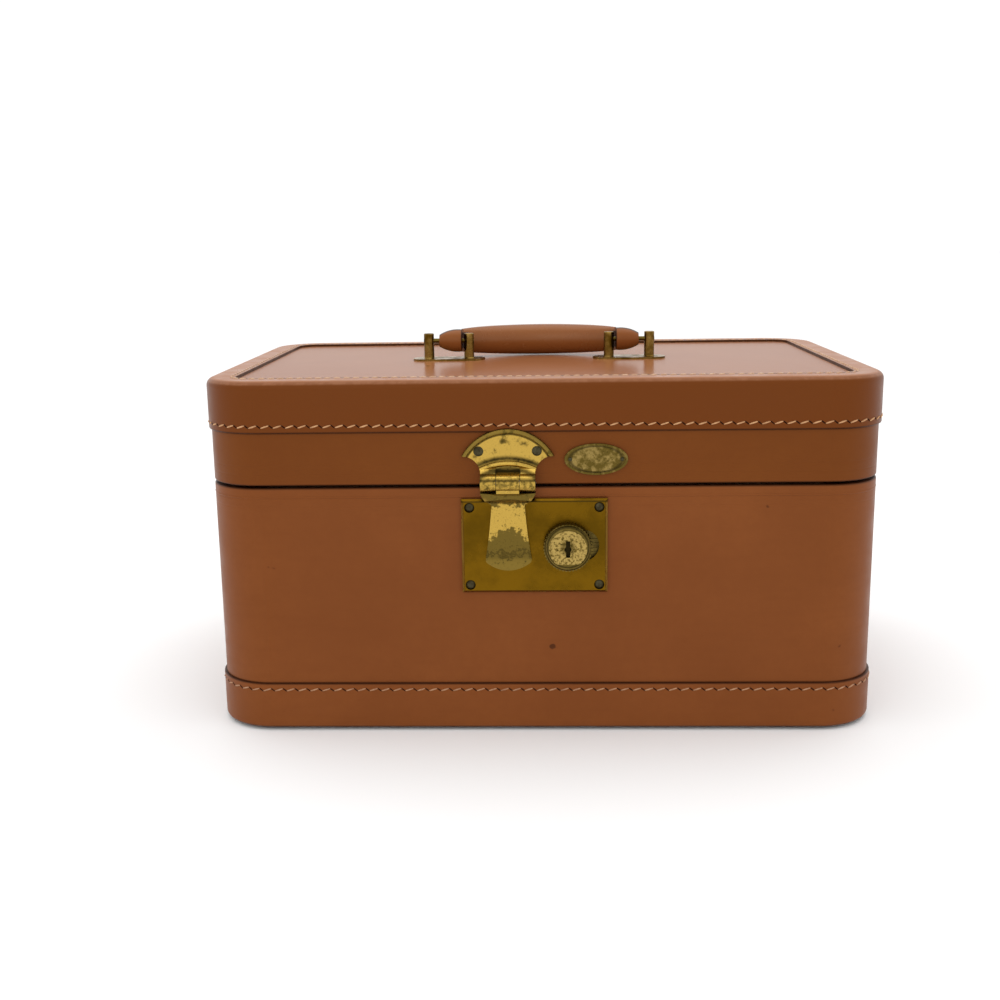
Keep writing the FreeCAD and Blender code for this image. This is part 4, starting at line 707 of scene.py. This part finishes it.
def finish_piece(name, bm, body, material):
    """A finished mesh that moves with one body."""
    bmesh.ops.recalc_face_normals(bm, faces=bm.faces)
    mesh = bpy.data.meshes.new(name)
    bm.to_mesh(mesh)
    bm.free()
    mesh.shade_smooth()
    mesh.materials.append(material)
    piece = bpy.data.objects.new(name, mesh)
    bpy.context.scene.collection.objects.link(piece)
    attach(piece, body)


def stitch_row(name, body, thread, inset, corner, level, pitch, length, width, lying):
    """A row of thread and the awl's slits between, painted dark as the holes' shade; lying rows are on the
    top, others on the walls.
    """
    rows = (("_thread", thread, 0.0, STITCH_SLANT, length, width, THREAD_RISE),
            ("_awl_hole_shades", awl_shade_finish, AWL_SHIFT_SHARE, AWL_SLANT, length * AWL_LENGTH_SHARE,
             width * AWL_WIDTH_SHARE, AWL_RISE))
    for ending, finish, shift, slant, long, wide, rise in rows:
        bm = bmesh.new()
        for spot, out in case_path(inset, corner, pitch, shift):
            forward = Vector((-out.y, out.x, 0))
            outward = Vector((out.x, out.y, 0))
            normal, across = (Vector((0, 0, 1)), -outward) if lying else (outward, Vector((0, 0, 1)))
            along = forward * math.cos(slant) + across * math.sin(slant)
            thread_piece(bm, Vector((spot.x, spot.y, level)), along, normal, long, wide, rise)
        finish_piece(name + ending, bm, body, finish)


def hem_roll(name, body, inset, corner, level, finish):
    """Low roll of leather all round the case, drawn run by run and turned at the corners."""
    bm = bmesh.new()
    runs = case_runs(inset, corner)
    start = runs[0][1]
    axes = Matrix(((HEM_RISE, 0, 0), (0, 0, -1), (0, HEM_WIDTH / 2, 0))).to_4x4()
    ring = bmesh.ops.create_circle(bm, segments=HEM_SIDES, radius=1.0,
                                   matrix=Matrix.Translation((start.x, start.y, level)) @ axes)["verts"]
    edges = bm.edges[:]
    for length, start, forward, out, angle in runs:
        if angle is None:
            grown = bmesh.ops.extrude_edge_only(bm, edges=edges)["geom"]
            moved = [item for item in grown if isinstance(item, bmesh.types.BMVert)]
            bmesh.ops.translate(bm, verts=moved, vec=(forward.x * length, forward.y * length, 0))
        else:
            grown = bmesh.ops.spin(bm, geom=ring + edges, cent=(start.x, start.y, 0), axis=(0, 0, 1),
                                   angle=math.pi / 2, steps=HEM_CORNER_STEPS)["geom_last"]
        ring = [item for item in grown if isinstance(item, bmesh.types.BMVert)]
        edges = [item for item in grown if isinstance(item, bmesh.types.BMEdge)]
    bmesh.ops.remove_doubles(bm, verts=bm.verts, dist=HEM_MERGE)
    finish_piece(name, bm, body, finish)


thread_finish = plain("waxed_thread", THREAD, THREAD_SOILED, scale=700.0, rough=0.7)
top_thread_finish = plain("clean_thread", TOP_THREAD, TOP_THREAD_SOILED, scale=400.0, rough=0.7)
band_thread_finish = plain("soiled_thread", BAND_THREAD, BAND_THREAD_SOILED, scale=500.0, rough=0.7)
# Awl slits painted dark as the shade inside the stitch holes
awl_shade_finish = plain("awl_hole_shade", AWL_HOLE_SHADE, TAN_EDGE, scale=500.0, rough=0.9, shine=0.05)
side = (SIDE_STITCH_PITCH, SIDE_STITCH_LENGTH, SIDE_STITCH_WIDTH, False)
top = (TOP_STITCH_PITCH, TOP_STITCH_LENGTH, TOP_STITCH_WIDTH, True)
stitch_row("band_stitches", "base", band_thread_finish, 0.0, CASE_CORNER,
           band_high.z - BAND_STITCH_DROP, *side)
stitch_row("binding_stitches", "lid", thread_finish, 0.0, CASE_CORNER,
           outer_low.z + BINDING_STITCH_RISE, *side)
stitch_row("top_stitches", "lid", top_thread_finish, TOP_ROW_INSET, TOP_ROW_CORNER, outer_high.z, *top)
cover_inset = half_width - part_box("base_cover")[1].x
hem_roll("base_hem", "base", cover_inset, CASE_CORNER - cover_inset, base_rim - HEM_DROP, base_leather)


# Floor, light and camera

def flat_floor():
    """Plain pale floor, wide enough to fill every view."""
    bm = bmesh.new()
    bmesh.ops.create_grid(bm, x_segments=1, y_segments=1, size=FLOOR_HALF)
    mesh = bpy.data.meshes.new("floor")
    bm.to_mesh(mesh)
    bm.free()
    material = bpy.data.materials.new("pale_floor")
    material.use_nodes = True
    shader = material.node_tree.nodes["Principled BSDF"]
    shader.inputs["Base Color"].default_value = FLOOR
    shader.inputs["Roughness"].default_value = FLOOR_ROUGHNESS
    mesh.materials.append(material)
    floor = bpy.data.objects.new("floor", mesh)
    bpy.context.scene.collection.objects.link(floor)


def soft_light(name, place, size, power):
    """Wide lamp turned towards the case."""
    lamp = bpy.data.lights.new(name, "AREA")
    lamp.shape = "RECTANGLE"
    lamp.size, lamp.size_y = size
    lamp.energy = power
    light = bpy.data.objects.new(name, lamp)
    light.location = place
    light.rotation_mode = "QUATERNION"
    light.rotation_quaternion = (Vector(LIGHT_TARGET) - Vector(place)).to_track_quat("-Z", "Y")
    bpy.context.scene.collection.objects.link(light)


def photo_camera():
    """Camera at its place, turned by its yaw, pitch and roll."""
    forward = Vector((math.sin(CAMERA_YAW) * math.cos(CAMERA_PITCH),
                      math.cos(CAMERA_YAW) * math.cos(CAMERA_PITCH), -math.sin(CAMERA_PITCH)))
    level = Vector((math.cos(CAMERA_YAW), -math.sin(CAMERA_YAW), 0))
    upright = level.cross(forward)
    right = level * math.cos(CAMERA_ROLL) + upright * math.sin(CAMERA_ROLL)
    up = upright * math.cos(CAMERA_ROLL) - level * math.sin(CAMERA_ROLL)
    lens = bpy.data.cameras.new("photo_camera")
    lens.lens, lens.sensor_width = CAMERA_LENS, CAMERA_SENSOR
    camera = bpy.data.objects.new("photo_camera", lens)
    turn = Matrix((right, up, -forward)).transposed().to_4x4()
    camera.matrix_world = Matrix.Translation(CAMERA_PLACE) @ turn
    bpy.context.scene.collection.objects.link(camera)
    bpy.context.scene.camera = camera


def white_surroundings(strength):
    """Even white light from all round."""
    world = bpy.data.worlds.new("studio")
    world.use_nodes = True
    world.node_tree.nodes["Background"].inputs["Color"].default_value = WHITE
    world.node_tree.nodes["Background"].inputs["Strength"].default_value = strength
    bpy.context.scene.world = world


flat_floor()
white_surroundings(SURROUNDINGS)
soft_light("overhead", OVERHEAD_PLACE, OVERHEAD_SIZE, OVERHEAD_POWER)
soft_light("front_fill", FILL_PLACE, FILL_SIZE, FILL_POWER)
photo_camera()
bpy.context.scene.view_settings.view_transform = "Standard"
